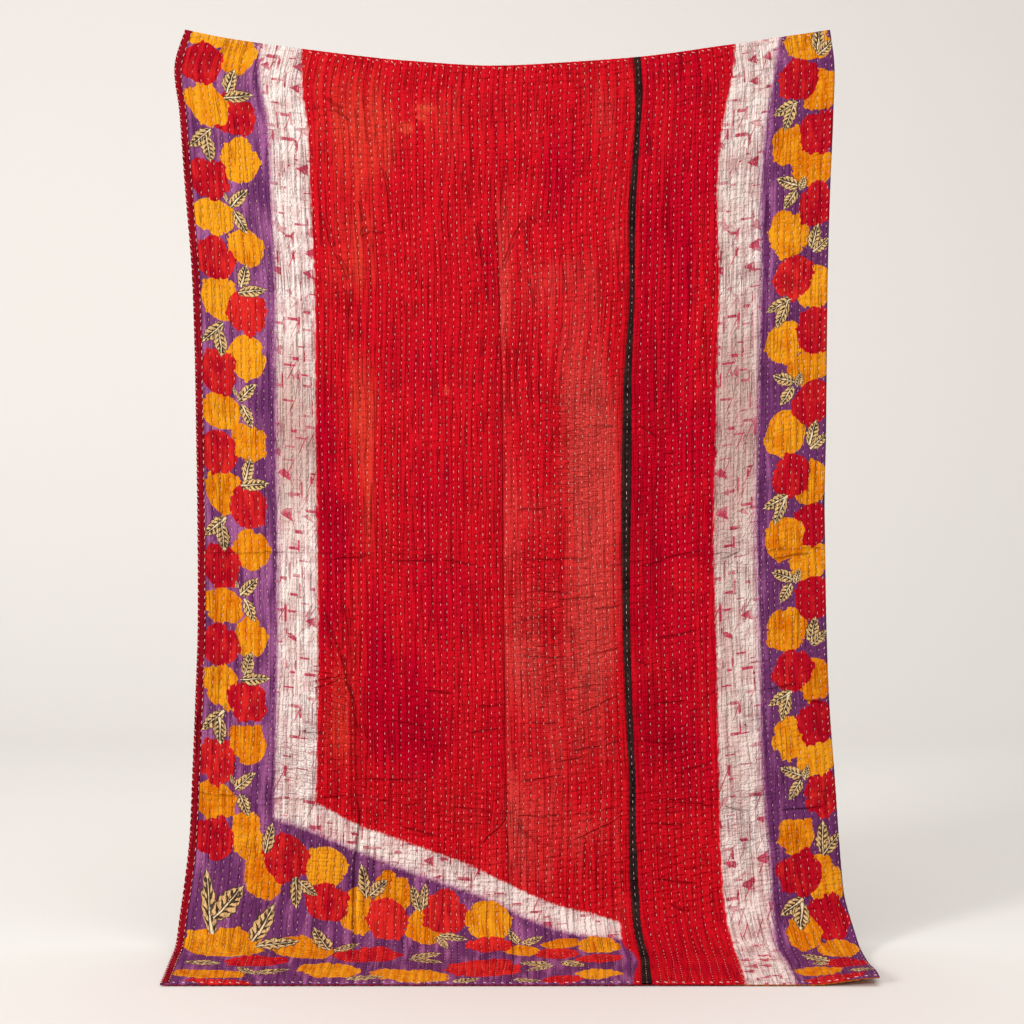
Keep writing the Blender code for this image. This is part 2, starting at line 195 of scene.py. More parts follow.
def folds(u, v):
    """How far the cloth stands towards the viewer."""
    hangs = 1.0 - smooth((v - 1.35) / 0.33)  # 1 above the floor, 0 on it
    height = np.zeros_like(u)
    for middle, half, size, strongest in WAVES:
        share = size * hangs + 0.12 * abs(size) * (1.0 - hangs)
        height += share * bump(u, middle, half) * (0.25 + 0.75 * bump(v, strongest, 0.80))
    for u0, v0, u1, v1, size, half in WRINKLES:
        du, dv = (u1 - u0) * WIDTH, v1 - v0
        length = math.hypot(du, dv)
        x, y = (u - u0) * WIDTH, v - v0
        along = (x * du + y * dv) / length
        off = (x * dv - y * du) / length + 0.35 * half * np.sin(along * 23.0 + 40.0 * u0)
        taper = min(0.20, 0.45 * length)
        rise = smooth(along / taper) * smooth((length - along) / taper)
        uneven = 0.8 + 0.2 * np.sin(9.0 * along + 31.0 * v0)
        height += size * bump(off, 0.0, half * 1.25) * rise * uneven
    soft = random_field(11, u * WIDTH, v, 0.045, 0.42) + 0.6 * random_field(12, u * WIDTH, v, 0.11, 0.16)
    height += 0.0009 * soft * (0.35 + 0.65 * hangs)
    # the right edge curls back above the floor, and its corner is turned up on it
    curl = smooth((v - 0.9) / 0.5) * (1.0 - smooth((v - 1.62) / 0.08))
    height -= 0.009 * np.clip((u - 0.955) / 0.045, 0, 1) ** 2 * curl
    height += 0.013 * smooth((u - 0.905) / 0.095) * smooth((v - 1.80) / 0.13)
    return np.where(v > 1.72, np.maximum(height, 0.0), height)


def middle_surface(u, v):
    """Points of the surface between the face and the back, at shares u of the width and distances v down it."""
    sag, left, right, _, _ = np.moveaxis(curve(SECTIONS, v), -1, 0)
    s = v - SAG * sag * curve(EDGE_LINE, u)
    y, z = np.moveaxis(curve(PROFILE, s), -1, 0)
    y0, z0 = np.moveaxis(curve(PROFILE, s - 0.002), -1, 0)
    y1, z1 = np.moveaxis(curve(PROFILE, s + 0.002), -1, 0)
    z = np.where(s < 0, -s, z)
    dy, dz = np.where(s < 0.01, 0.0, y1 - y0), np.where(s < 0.01, -0.004, z1 - z0)
    size = np.hypot(dy, dz)
    dy, dz = dy / size, dz / size
    height = folds(u, v)
    points = np.stack([left + (right - left) * u, y, z], -1)
    points[..., 1] += dz * height
    points[..., 2] -= dy * height
    return points


def strayed(column, v, last, seed):
    """Columns, with each row of stitches strayed a little sideways."""
    stray = 1.1 * random_field(seed, column, v, 11.0, 0.34) + 0.5 * random_field(seed + 1, column, v, 3.1, 0.11)
    return column + stray * np.clip(np.minimum(column, last - column) / 7.0, 0.0, 1.0)


def share_left(column, v):
    """Columns of the left panel as shares of the width."""
    return curve(SECTIONS, v)[..., 3] * strayed(column, v, LAST_LEFT, STRAY_LEFT) / LAST_LEFT


def share_right(column, v):
    """Columns of the right panel as shares of the width."""
    edge = curve(SECTIONS, v)[..., 4]
    return edge + (1.0 - edge) * strayed(column, v, LAST_RIGHT, STRAY_RIGHT) / LAST_RIGHT


def down_cloth(u, v):
    """The distance from the top edge along the cloth, which is what the print follows."""
    return v + SAG * curve(EDGE_LINE, u) * (1.0 - curve(SECTIONS, v)[..., 0])


def unit(vectors):
    return vectors / np.linalg.norm(vectors, axis=-1, keepdims=True)


def grid_normals(points):
    across, down = np.gradient(points, axis=(0, 1))
    return unit(np.cross(down, across))


# ---------------------------------------------------------------------------------------------------------------
# Small folds and long creases, on the flat cloth: x from a panel's left edge, t down from its top edge
# ---------------------------------------------------------------------------------------------------------------

# Short folds pressed into the cloth: x and t of both ends, and the width.
FOLDS_LEFT = metres((
    (265, 315, 282, 390, 9), (282, 386, 312, 452, 9), (337, 281, 345, 331, 6), (345, 327, 335, 356, 6),
    (337, 354, 360, 341, 6), (358, 342, 383, 341, 6), (384, 208, 395, 279, 6), (395, 271, 392, 327, 5),
    (278, 87, 315, 111, 6), (292, 107, 327, 130, 5), (541, 221, 551, 287, 5), (658, 296, 630, 345, 8),
    (664, 282, 662, 378, 7), (666, 294, 681, 316, 6), (632, 341, 610, 403, 7), (561, 302, 577, 407, 6),
    (577, 399, 581, 468, 5), (657, 409, 674, 484, 6), (620, 255, 618, 306, 5), (281, 444, 286, 518, 5),
    (300, 452, 303, 540, 5), (312, 452, 307, 523, 6), (325, 478, 332, 566, 5), (660, 549, 675, 686, 7),
    (686, 535, 695, 695, 6), (738, 697, 706, 758, 6), (643, 869, 710, 870, 8), (778, 713, 857, 718, 6),
    (622, 525, 631, 702, 5), (635, 529, 647, 703, 5), (229, 1237, 301, 1216, 9), (233, 1252, 297, 1221, 6),
    (208, 1335, 264, 1336, 6), (322, 1417, 449, 1404, 7), (245, 1463, 309, 1451, 8),
    (571, 1524, 625, 1466, 8), (629, 1468, 687, 1530, 8), (641, 1474, 661, 1517, 6),
    (744, 1523, 852, 1477, 7), (749, 1345, 817, 1338, 7), (813, 1340, 857, 1330, 7),
    (762, 1277, 855, 1244, 9), (638, 1402, 735, 1391, 7), (753, 1097, 762, 1148, 6),
    (762, 1144, 759, 1195, 6), (640, 1156, 758, 1162, 6), (558, 1254, 624, 1248, 6),
    (778, 1163, 857, 1152, 6), (723, 1048, 814, 1048, 5), (648, 1084, 717, 1081, 5),
    (730, 1225, 810, 1218, 5), (667, 1284, 727, 1291, 5), (491, 971, 572, 978, 5),
    (311, 1262, 330, 1342, 6), (332, 1299, 342, 1340, 5), (297, 1068, 305, 1145, 7),
    (381, 981, 491, 975, 5), (653, 967, 815, 972, 6), (673, 1026, 764, 1039, 5), (794, 1072, 859, 1070, 5),
    (716, 1365, 772, 1358, 5), (547, 1305, 607, 1295, 5), (458, 1228, 518, 1231, 5),
    (267, 994, 352, 976, 6), (397, 1296, 467, 1299, 5), (410, 1497, 489, 1513, 5),
))
FOLDS_RIGHT = metres((
    (10, 125, 23, 204, 6), (59, 208, 66, 384, 6), (109, 331, 110, 546, 6), (141, 492, 141, 609, 5),
    (44, 537, 47, 713, 5), (17, 720, 56, 753, 6), (59, 988, 162, 979, 7), (20, 997, 75, 992, 6),
    (49, 1143, 137, 1135, 6), (35, 1269, 113, 1269, 6), (132, 1272, 168, 1257, 5), (12, 1334, 82, 1354, 6),
    (47, 1455, 146, 1480, 7), (18, 1496, 104, 1513, 6), (87, 1402, 149, 1399, 5), (10, 1178, 37, 1196, 5),
    (32, 1607, 116, 1626, 5), (53, 1657, 93, 1676, 5), (178, 1004, 221, 995, 6), (165, 1483, 218, 1502, 6),
    (260, 1271, 329, 1270, 6), (276, 1020, 367, 1017, 6), (266, 1510, 364, 1513, 6),
    (327, 1301, 374, 1315, 5),
))

# Long creases of the folded quilt: two across, as (x, t) on each panel, and two down the left panel, as (t, x).
ACROSS_LEFT = (
    (
        (0.0, 1.021), (0.166, 0.993), (0.247, 0.983), (0.328, 0.976), (0.422, 0.968), (0.531, 0.967),
        (0.62, 0.97), (0.693, 0.984), (0.754, 0.989), (0.815, 0.99), (0.866, 0.988),
    ),
    (
        (0.0, 1.491), (0.245, 1.463), (0.309, 1.451), (0.408, 1.456), (0.471, 1.455), (0.566, 1.456),
        (0.625, 1.464), (0.733, 1.47), (0.822, 1.465), (0.866, 1.464),
    ),
)
ACROSS_RIGHT = (
    (
        (0.0, 0.987), (0.059, 0.986), (0.158, 0.992), (0.255, 0.999), (0.39, 1.013),
    ),
    (
        (0.0, 1.462), (0.047, 1.459), (0.143, 1.468), (0.237, 1.474), (0.39, 1.486),
    ),
)
DOWN_MIDDLE = (
    (0.0, 0.59), (0.175, 0.595), (0.263, 0.601), (0.341, 0.604), (0.458, 0.604), (0.644, 0.617),
    (0.79, 0.619), (0.937, 0.619), (1.22, 0.619), (1.376, 0.617), (1.464, 0.62), (1.55, 0.624),
    (2.1, 0.626),
)
DOWN_LEFT = (
    (0.0, 0.24), (0.95, 0.245), (1.073, 0.258), (1.114, 0.27), (1.195, 0.301), (1.227, 0.307),
    (1.261, 0.319), (1.358, 0.326), (1.435, 0.329), (1.497, 0.335), (1.571, 0.33), (1.748, 0.337),
    (2.1, 0.337),
)


def fold_relief(x, t, folds, across, down):
    """Height of the short folds and the long creases: a narrow trough with a raised lip on one side."""
    height = np.zeros_like(x)
    for x0, t0, x1, t1, width in folds:
        dx, dt = x1 - x0, t1 - t0
        length = math.hypot(dx, dt)
        a = ((x - x0) * dx + (t - t0) * dt) / length**2
        off = ((x - x0) * dt - (t - t0) * dx) / length
        off = off + 0.0016 * np.sin(a * 9.0 + 60.0 * x0)
        half = max(0.0055, 0.9 * width)
        taper = smooth(a / 0.22) * smooth((1.0 - a) / 0.28)
        height += taper * 0.09 * width * (bump(off, half, 1.2 * half) - 1.3 * bump(off, 0.0, half))
    for line in across:
        off = t - curve(line, x) + 0.0025 * np.sin(31.0 * x)
        height += 0.0006 * (bump(off, 0.007, 0.007) - bump(off, 0.0, 0.0065))
    for line, first, last in down:
        off = x - curve(line, t)
        reach = smooth((t - first) / 0.12) * smooth((last - t) / 0.12)
        height += 0.0011 * reach * (bump(off, 0.0075, 0.008) - bump(off, 0.0, 0.0065))
    return height


# ---------------------------------------------------------------------------------------------------------------
# Running stitches: where each row has its stitches
# ---------------------------------------------------------------------------------------------------------------

PITCH = 0.0152  # from one running stitch to the next


def stitch_phase(row, v, seed):
    """Rises by one from each stitch to the next down a row; a whole number is the middle of a stitch."""
    rng = np.random.default_rng(seed)
    offsets = rng.uniform(0.0, 1.0, 200)
    rates = rng.uniform(0.93, 1.09, 200)
    return v / PITCH * rates[row] + offsets[row] + 0.5 * random_field(seed + 5, row * 1.0, v, 0.7, 0.13)


def stitch_places(row, seed, margin, steps, shift=0.0):
    """Distances down the cloth of the stitches of one row."""
    fine = np.linspace(margin, LENGTH - margin, steps)
    phase = stitch_phase(np.full(fine.shape, row), fine, seed) + shift
    numbers = np.arange(math.ceil(phase[0]), math.floor(phase[-1]) + 1)
    return np.interp(numbers, phase, fine)


def relief(column, v, last, seed):
    """The puckers: low along each row of stitches, raised between two rows."""
    share = np.abs(np.sin(0.5 * math.pi * column))
    ridge = 0.00140 + 0.00060 * random_field(seed, column, v, 1.9, 0.075)
    height = ridge * share**0.65
    height += 0.00040 * random_field(seed + 1, column, v, 0.75, 0.050) * share
    row = np.clip(np.round(column / 2).astype(int), 0, last // 2)
    near = np.cos(0.5 * math.pi * np.clip(np.abs(column - 2 * row), 0, 1)) ** 2
    height -= 0.00045 * near * np.cos(2 * math.pi * stitch_phase(row, v, seed + 7))
    height += 0.00028 * (1.0 - near) * random_field(seed + 2, column, v, 1.6, 0.011)
    return height - 0.0003


# ---------------------------------------------------------------------------------------------------------------
# Meshes
# ---------------------------------------------------------------------------------------------------------------


def mesh_object(name, points, faces, materials=()):
    """A smooth mesh of four-sided faces in the scene."""
    mesh = bpy.data.meshes.new(name)
    points = np.asarray(points, np.float32).reshape(-1, 3)
    faces = np.asarray(faces, np.int32)
    mesh.vertices.add(len(points))
    mesh.vertices.foreach_set("co", points.ravel())
    mesh.loops.add(faces.size)
    mesh.loops.foreach_set("vertex_index", faces.ravel())
    mesh.polygons.add(len(faces))
    mesh.polygons.foreach_set("loop_start", np.arange(0, faces.size, 4, dtype=np.int32))
    mesh.update(calc_edges=True)
    mesh.validate()
    mesh.shade_smooth()
    for material in materials:
        mesh.materials.append(material)
    obj = bpy.data.objects.new(name, mesh)
    bpy.context.scene.collection.objects.link(obj)
    return obj


def grid_faces(columns, rows):
    index = np.arange(columns * rows).reshape(columns, rows)
    a, b = index[:-1, :-1].ravel(), index[1:, :-1].ravel()
    c, d = index[1:, 1:].ravel(), index[:-1, 1:].ravel()
    return np.stack([a, d, c, b], 1)


def add_uv(obj, columns, rows):
    """A flat map of a grid, for the finish."""
    u = np.repeat(np.linspace(0.0, 1.0, columns), rows)
    v = np.tile(np.linspace(1.0, 0.0, rows), columns)
    layer = obj.data.uv_layers.new(name="OFBake")
    index = np.zeros(len(obj.data.loops), np.int32)
    obj.data.loops.foreach_get("vertex_index", index)
    layer.data.foreach_set("uv", np.stack([u[index], v[index]], 1).astype(np.float32).ravel())


def add_attribute(obj, name, values):
    """A number or a vector for each point of a grid."""
    kind, key = ("FLOAT_VECTOR", "vector") if values.ndim == 3 else ("FLOAT", "value")
    layer = obj.data.attributes.new(name, kind, "POINT")
    layer.data.foreach_set(key, values.astype(np.float32).ravel())


def add_flat(obj, x, t):
    """Where each point of a grid is on the flat cloth, which the materials read."""
    add_attribute(obj, "flat", np.stack([x, t, np.zeros_like(x)], -1))


def bordered(array, turned):
    """A grid with one more line of points round it, at the places that turned gives for it."""
    columns, rows = array.shape[:2]
    out = np.empty((columns + 2, rows + 2, 3))
    out[1:-1, 1:-1] = array
    out[0, 1:-1], out[-1, 1:-1] = turned[0], turned[-1]
    out[1:-1, 0], out[1:-1, -1] = turned[:, 0], turned[:, -1]
    for i, j in ((0, 0), (0, -1), (-1, 0), (-1, -1)):
        out[i, j] = turned[i, j]
    return out


def spread(values):
    """Values of a grid, repeated for the line of points round it."""
    return np.pad(values, ((1, 1), (1, 1)) + ((0, 0),) * (values.ndim - 2), mode="edge")


class Panel:
    """The grid of one face panel: points, normals and the place on the flat cloth of each grid point."""

    def __init__(self, share, stray_seed, last, width, seed, folds, across, down):
        self.last, self.stitch_seed = last, seed + 7
        self.folds, self.across, self.down = folds, across, down
        # four columns of points to a space between rows, closer together near the stitches
        self.column = np.append((np.arange(0, last, 2)[:, None] + [0.0, 0.38, 1.0, 1.62]).ravel(), last)
        c, v = np.meshgrid(self.column, np.linspace(0.0, LENGTH, STEPS_DOWN), indexing="ij")
        u = share(c, v)
        self.middle = middle_surface(u, v)
        self.normal = grid_normals(self.middle)
        row = np.clip(np.round(c / 2 - 0.001).astype(int), 0, last // 2)
        self.seam = np.stack([stitch_phase(row, v, self.stitch_seed), c, np.zeros_like(c)], -1)
        self.x = strayed(c, v, last, stray_seed) / last * width
        self.t = down_cloth(u, v)
        height = relief(c, v, last, seed) + fold_relief(self.x, self.t, folds, across, down)
        self.points = self.middle + self.normal * (LAYER + np.maximum(height, -0.0007))[..., None]

    def at(self, column, v, grid):
        """A grid's values at any columns and distances down the cloth."""
        i = np.clip(np.interp(column, self.column, np.arange(len(self.column))), 0, len(self.column) - 1.001)
        j = np.clip(np.asarray(v) / LENGTH * (STEPS_DOWN - 1), 0, STEPS_DOWN - 1.001)
        a, b = np.floor(i).astype(int), np.floor(j).astype(int)
        f, g = (i - a)[..., None], (j - b)[..., None]
        return (grid[a, b] * (1 - f) + grid[a + 1, b] * f) * (1 - g) + (
            grid[a, b + 1] * (1 - f) + grid[a + 1, b + 1] * f
        ) * g


# the creases down the left panel, and from where to where they show
DOWN_LINES = ((DOWN_MIDDLE, 0.15, 1.60), (DOWN_LEFT, 1.05, 1.80))
LEFT = Panel(share_left, STRAY_LEFT, LAST_LEFT, LEFT_WIDTH, 41, FOLDS_LEFT, ACROSS_LEFT, DOWN_LINES)
RIGHT = Panel(share_right, STRAY_RIGHT, LAST_RIGHT, RIGHT_WIDTH, 61, FOLDS_RIGHT, ACROSS_RIGHT, ())

# ---------------------------------------------------------------------------------------------------------------
# The print, charted on the flat cloth
# ---------------------------------------------------------------------------------------------------------------

# The print's repeats on each panel: their distance, the t of the first, and the t below which none is whole.
REPEATS_LEFT, REPEATS_RIGHT = (0.3795, 0.151, 1.475), (0.3840, 0.091, 1.530)

# Flowers of one repeat: colour, x, t, half width, half height, turn in degrees.
FLOWERS_LEFT = flower_rows((
    ("red", 103.5, 0, 39, 42, 0), ("orange", 106.5, 87, 36, 41, 10), ("red", 46.5, 130, 35, 42, 0),
    ("orange", 49.5, 205, 40, 34, -8), ("orange", 106.5, 258, 33, 37, 20), ("red", 45.5, 284, 37, 40, 12),
    ("orange", 53.5, 363, 36, 42, -16),
))
FLOWERS_RIGHT = flower_rows((
    ("red", 316, 0, 36, 41, 8), ("orange", 357, 24, 34, 42, 0), ("red", 358, 106, 34, 43, 0),
    ("orange", 303, 125, 36, 40, 14), ("orange", 353, 175, 38, 36, -20), ("red", 360, 247, 35, 42, 6),
    ("orange", 307, 300, 38, 43, -6),
))
# Leaves of one repeat: the base's x and t, the tip's x and t, and the width.
LEAVES_LEFT = metres((
    (96, -46, 108, -90, 26), (88, -36, 141, -48, 23), (57, 30, 16, 72, 24), (47, 45, 52, 92, 27),
    (83, 178, 118, 142, 23), (92, 184, 112, 222, 24), (80, 168, 75, 152, 8),
))
LEAVES_RIGHT = metres((
    (312, 40, 268, 58, 25), (306, 44, 288, 90, 24), (322, 205, 283, 186, 24), (318, 212, 296, 244, 23),
    (326, 214, 333, 188, 16), (352, 332, 362, 288, 26), (354, 338, 384, 316, 22),
))
# At the top edge and below the last whole repeat each flower and leaf has a place of its own.
FLOWERS_LOW_LEFT = flower_rows((
    ("orange", 41, 2, 38, 24, 0), ("orange", 47, 1495, 40, 38, 0), ("red", 46, 1568, 36, 42, 0),
    ("orange", 109, 1553, 31, 44, 0), ("orange", 148, 1624, 37, 44, 0), ("red", 190, 1580, 41, 43, 0),
    ("orange", 269, 1592, 40, 38, -20), ("red", 273, 1658, 39, 36, 0), ("orange", 338, 1672, 33, 44, 0),
    ("red", 392, 1682, 38, 42, 0), ("orange", 400, 1625, 38, 38, -15), ("orange", 86, 1782, 76, 46, 4),
    ("red", 158, 1850, 58, 30, -6), ("orange", 236, 1780, 58, 40, 6), ("orange", 75, 1945, 68, 26, 0),
    ("red", 105, 1992, 60, 18, 0), ("orange", 290, 1895, 54, 48, 0), ("red", 361, 1792, 58, 38, -6),
    ("orange", 465, 1693, 36, 42, 0), ("red", 504, 1658, 42, 40, 10), ("orange", 583, 1670, 40, 42, -30),
    ("red", 583, 1732, 42, 26, 0), ("orange", 646, 1756, 33, 22, 0), ("orange", 719, 1732, 37, 16, 0),
    ("red", 708, 1772, 40, 26, 0), ("orange", 788, 1738, 40, 27, 0), ("red", 786, 1802, 40, 22, 0),
    ("orange", 782, 1898, 40, 30, 0), ("red", 722, 1930, 36, 26, 0), ("red", 575, 1858, 66, 52, -8),
    ("orange", 440, 1912, 70, 40, 0),
))
LEAVES_LOW_LEFT = metres((
    (148, 1580, 158, 1524, 22), (64, 1755, 38, 1640, 30), (64, 1720, 108, 1655, 40),
    (140, 1762, 172, 1680, 32), (146, 1776, 222, 1750, 34), (212, 1618, 216, 1672, 24),
    (218, 1626, 252, 1646, 22), (288, 1775, 256, 1715, 32), (294, 1780, 338, 1744, 20),
    (352, 1640, 338, 1584, 22), (356, 1636, 386, 1606, 24), (454, 1656, 438, 1612, 22),
    (458, 1654, 464, 1606, 18), (488, 1708, 504, 1744, 18), (490, 1706, 540, 1712, 20),
    (640, 1726, 622, 1690, 18), (644, 1728, 682, 1706, 20), (92, 1868, 34, 1876, 30),
    (160, 1930, 216, 1896, 30), (162, 1934, 128, 1894, 26), (440, 1795, 490, 1770, 30),
    (436, 1800, 494, 1822, 26), (694, 1830, 642, 1820, 34), (700, 1838, 654, 1868, 24),
    (715, 1810, 752, 1846, 34), (520, 1950, 566, 1926, 28), (628, 1930, 676, 1940, 26),
    (330, 1950, 390, 1924, 30),
))
FLOWERS_LOW_RIGHT = flower_rows((
    ("orange", 338, 16, 46, 34, 0), ("orange", 304, 1560, 33, 37, 10), ("red", 307, 1636, 40, 45, 0),
    ("orange", 351, 1650, 32, 50, -16), ("orange", 290, 1752, 30, 46, 0), ("red", 348, 1728, 34, 48, -8),
    ("orange", 343, 1812, 38, 34, 18), ("red", 347, 1884, 38, 32, 14), ("orange", 291, 1932, 38, 30, 0),
    ("red", 312, 1998, 50, 22, 0),
))
LEAVES_LOW_RIGHT = metres((
    (350, 1602, 354, 1545, 26), (352, 1606, 384, 1570, 22), (306, 1682, 262, 1706, 26),
    (302, 1690, 290, 1738, 30), (318, 1866, 276, 1826, 30), (314, 1880, 286, 1880, 22),
    (344, 1952, 382, 1966, 32),
))

# Where the dyed fields meet on the left panel: the purple border's inner edge and the white band's inner edge, as
# (t, x), and both edges of the slanting band and the border's end, as (x, t).
PURPLE_EDGE = (
    (0.0, 0.139), (0.05, 0.154), (0.11, 0.163), (0.25, 0.167), (0.46, 0.163), (0.9, 0.161), (2.1, 0.163),
)
WHITE_EDGE = (
    (0.0, 0.222), (0.05, 0.234), (0.11, 0.24), (0.29, 0.243), (0.46, 0.241), (0.9, 0.242), (2.1, 0.245),
)
SLANT_PURPLE = (
    (0.0, 1.5), (0.16, 1.511), (0.225, 1.524), (0.325, 1.553), (0.403, 1.575), (0.487, 1.597),
    (0.552, 1.614), (0.613, 1.641), (0.675, 1.673), (0.754, 1.706), (0.833, 1.722), (0.86, 1.726),
)
SLANT_WHITE = (
    (0.0, 1.455), (0.243, 1.471), (0.335, 1.505), (0.41, 1.523), (0.466, 1.538), (0.541, 1.559),
    (0.625, 1.597), (0.701, 1.634), (0.809, 1.671), (0.838, 1.683), (0.86, 1.688),
)
BORDER_END = (
    (1.6, 0.834), (1.7, 0.834), (1.74, 0.834), (1.77, 0.846), (1.82, 0.854), (1.9, 0.848), (2.1, 0.84),
)
# On the right panel: both edges of its white band, as (t, x).
WHITE_START = (
    (0.0, 0.192), (0.05, 0.182), (0.11, 0.17), (0.5, 0.169), (1.0, 0.165), (1.2, 0.168), (1.4, 0.162),
    (2.1, 0.158),
)
PURPLE_START = (
    (0.0, 0.284), (0.05, 0.268), (0.11, 0.258), (0.5, 0.253), (1.0, 0.25), (1.2, 0.253), (1.4, 0.246),
    (1.7, 0.245), (1.76, 0.236), (1.87, 0.241), (2.1, 0.25),
)

# Where the dye is worn lighter (above zero) or has stayed deeper, and where light and shade are painted: x, t,
# half width, half height, how much.
TONES_AND_PAINTED_LIGHT_LEFT = (
    (0.339, 0.124, 0.12, 0.18, 0.8), (0.393, 0.164, 0.03, 0.18, 0.3), (0.497, 0.11, 0.07, 0.09, 0.3),
    (0.33, 0.38, 0.09, 0.17, 0.75), (0.614, 0.44, 0.02, 0.22, 0.6), (0.733, 0.413, 0.13, 0.2, 0.5),
    (0.793, 0.72, 0.09, 0.34, 1.1), (0.335, 0.69, 0.045, 0.19, 0.85), (0.345, 0.87, 0.035, 0.17, 0.45),
    (0.278, 0.899, 0.06, 0.19, -0.8), (0.262, 0.74, 0.03, 0.14, -0.6), (0.49, 0.669, 0.13, 0.4, -0.4),
    (0.415, 1.306, 0.13, 0.2, -1.0), (0.493, 1.118, 0.17, 0.28, -0.5), (0.74, 1.194, 0.15, 0.34, 0.5),
    (0.675, 1.504, 0.24, 0.17, 0.5), (0.291, 1.258, 0.05, 0.26, 0.5), (0.26, 1.112, 0.06, 0.11, -0.6),
    (0.466, 0.089, 0.026, 0.009, 2.0), (0.458, 0.107, 0.012, 0.014, 1.3), (0.428, 0.132, 0.022, 0.017, 1.6),
    (0.505, 0.64, 0.01, 0.016, 1.6), (0.197, 0.758, 0.11, 0.32, -1.0), (0.725, 0.23, 0.07, 0.26, -0.7),
    (0.8, 1.0, 0.07, 0.46, 1.1), (0.652, 1.1, 0.08, 0.42, 0.45), (0.277, 0.992, 0.045, 0.16, -0.6),
    (0.36, 1.19, 0.045, 0.26, -1.1), (0.47, 0.973, 0.12, 0.3, -0.3),
)
TONES_AND_PAINTED_LIGHT_RIGHT = (
    (0.08, 0.9, 0.3, 1.9, -0.8), (0.101, 1.034, 0.09, 0.07, 0.5), (0.096, 1.588, 0.13, 0.3, 0.5),
    (0.106, 0.389, 0.03, 0.17, -0.5), (0.059, 0.969, 0.04, 0.14, -0.3), (0.211, 0.75, 0.09, 0.3, -0.8),
    (0.133, 0.53, 0.05, 0.28, 0.7), (0.065, 0.715, 0.03, 0.08, 0.4), (0.138, 1.18, 0.04, 0.2, 0.4),
    (0.36, 0.95, 0.11, 2.5, -1.1),
)
# Where the cloth between the stitches is crinkled across the rows, in the same way.
CRINKLES_LEFT = (
    (0.76, 0.76, 0.13, 0.3, 1.0), (0.76, 1.18, 0.16, 0.34, 0.9), (0.67, 1.06, 0.09, 0.26, 0.8),
    (0.275, 1.26, 0.07, 0.22, 0.9), (0.48, 1.29, 0.2, 0.08, 0.6), (0.48, 1.44, 0.35, 0.09, 0.6),
    (0.4, 0.95, 0.13, 0.07, 0.6), (0.64, 0.5, 0.06, 0.16, 0.4), (0.2, 1.4, 0.1, 0.14, 0.6),
    (0.33, 0.11, 0.08, 0.1, 0.4),
)
CRINKLES_RIGHT = (
    (0.05, 0.8, 0.08, 0.4, 0.5), (0.06, 1.35, 0.09, 0.35, 0.8), (0.2, 1.0, 0.09, 0.12, 0.6),
    (0.2, 1.5, 0.09, 0.16, 0.6),
)


def patches(table, x, t):
    """The sum of a table's soft patches at each place."""
    total = np.zeros_like(x)
    for cx, ct, half_x, half_t, much in table:
        total += much * (1.0 - smooth(np.hypot((x - cx) / half_x, (t - ct) / half_t)))
    return total


def repeated(table, low, period, first, low_from):
    """A table's rows at every whole repeat, and the rows that have a place of their own."""
    at_t = (2,) if len(table[0]) == 6 else (1, 3)  # of a flower's row, of a leaf's row
    rows = []
    for k in range(-1, 6):
        for row in table:
            moved = tuple(value + (first + k * period) if i in at_t else value for i, value in enumerate(row))
            if 0.015 < moved[at_t[0]] < low_from:
                rows.append(moved)
    return rows + list(low)


def varied(rows, seed):
    """Small differences from one repeat to the next, as a worn and puckered cloth has."""
    rng = np.random.default_rng(seed)
    out = []
    for row in rows:
        if len(row) == 6:
            colour, x, t, a, b, turn = row
            x, t = x + rng.uniform(-0.003, 0.003), t + rng.uniform(-0.003, 0.003)
            a, b = a * rng.uniform(1.0, 1.08), b * rng.uniform(1.0, 1.08)
            out.append((colour, x, t, a, b, turn + rng.uniform(-12, 12)))
        else:
            x0, t0, x1, t1 = (value + rng.uniform(-0.0012, 0.0012) for value in row[:4])
            out.append((x0, t0, x1 + 0.10 * (x1 - x0), t1 + 0.10 * (t1 - t0), 1.12 * row[4]))
    return out


def layered(shapes, layers, reach):
    """Shapes shared out over layers, so that two shapes of one layer are never near each other."""
    found = [[] for _ in range(layers)]
    for shape in shapes:
        x, t, r = reach(shape)

        def room(layer):
            gaps = (math.hypot(x - x1, t - t1) - r - r1 for x1, t1, r1 in map(reach, layer))
            return min(gaps, default=math.inf)

        free = [layer for layer in found if room(layer) > 0.012]
        (free[0] if free else max(found, key=room)).append(shape)
    return found


NO_SHAPE = -10000.0


def nearest_local(shapes, reach, local, x, t):
    """For each grid point the place within the nearest shape, and its number, or NO_SHAPE between two shapes."""
    best = np.full(x.shape, 1e9)
    values = np.zeros(x.shape + (3,))
    for n, shape in enumerate(shapes):
        cx, ct, r = reach(shape)
        distance = np.hypot(x - cx, t - ct) / r
        closer = distance < best
        best[closer] = distance[closer]
        a, b = local(shape, x, t)
        values[closer] = np.stack([a, b, np.full_like(a, 1.0 + n)], -1)[closer]
    between = np.zeros(x.shape, bool)
    for axis in (0, 1):
        change = np.moveaxis(np.diff(values[..., 2], axis=axis) != 0, axis, 0)
        lines = np.moveaxis(between, axis, 0)
        lines[:-1] |= change
        lines[1:] |= change
    values[between | (best > 1.6), 2] = NO_SHAPE
    return values


def flower_reach(shape):
    return shape[1], shape[2], 1.15 * max(shape[3], shape[4])


def flower_local(shape, x, t):
    _, cx, ct, a, b, turn = shape
    angle = math.radians(turn)
    dx, dt = x - cx, t - ct
    return (dx * math.cos(angle) + dt * math.sin(angle)) / a, (dt * math.cos(angle) - dx * math.sin(angle)) / b


def leaf_reach(shape):
    x0, t0, x1, t1 = shape[:4]
    return 0.5 * (x0 + x1), 0.5 * (t0 + t1), 0.52 * math.hypot(x1 - x0, t1 - t0)


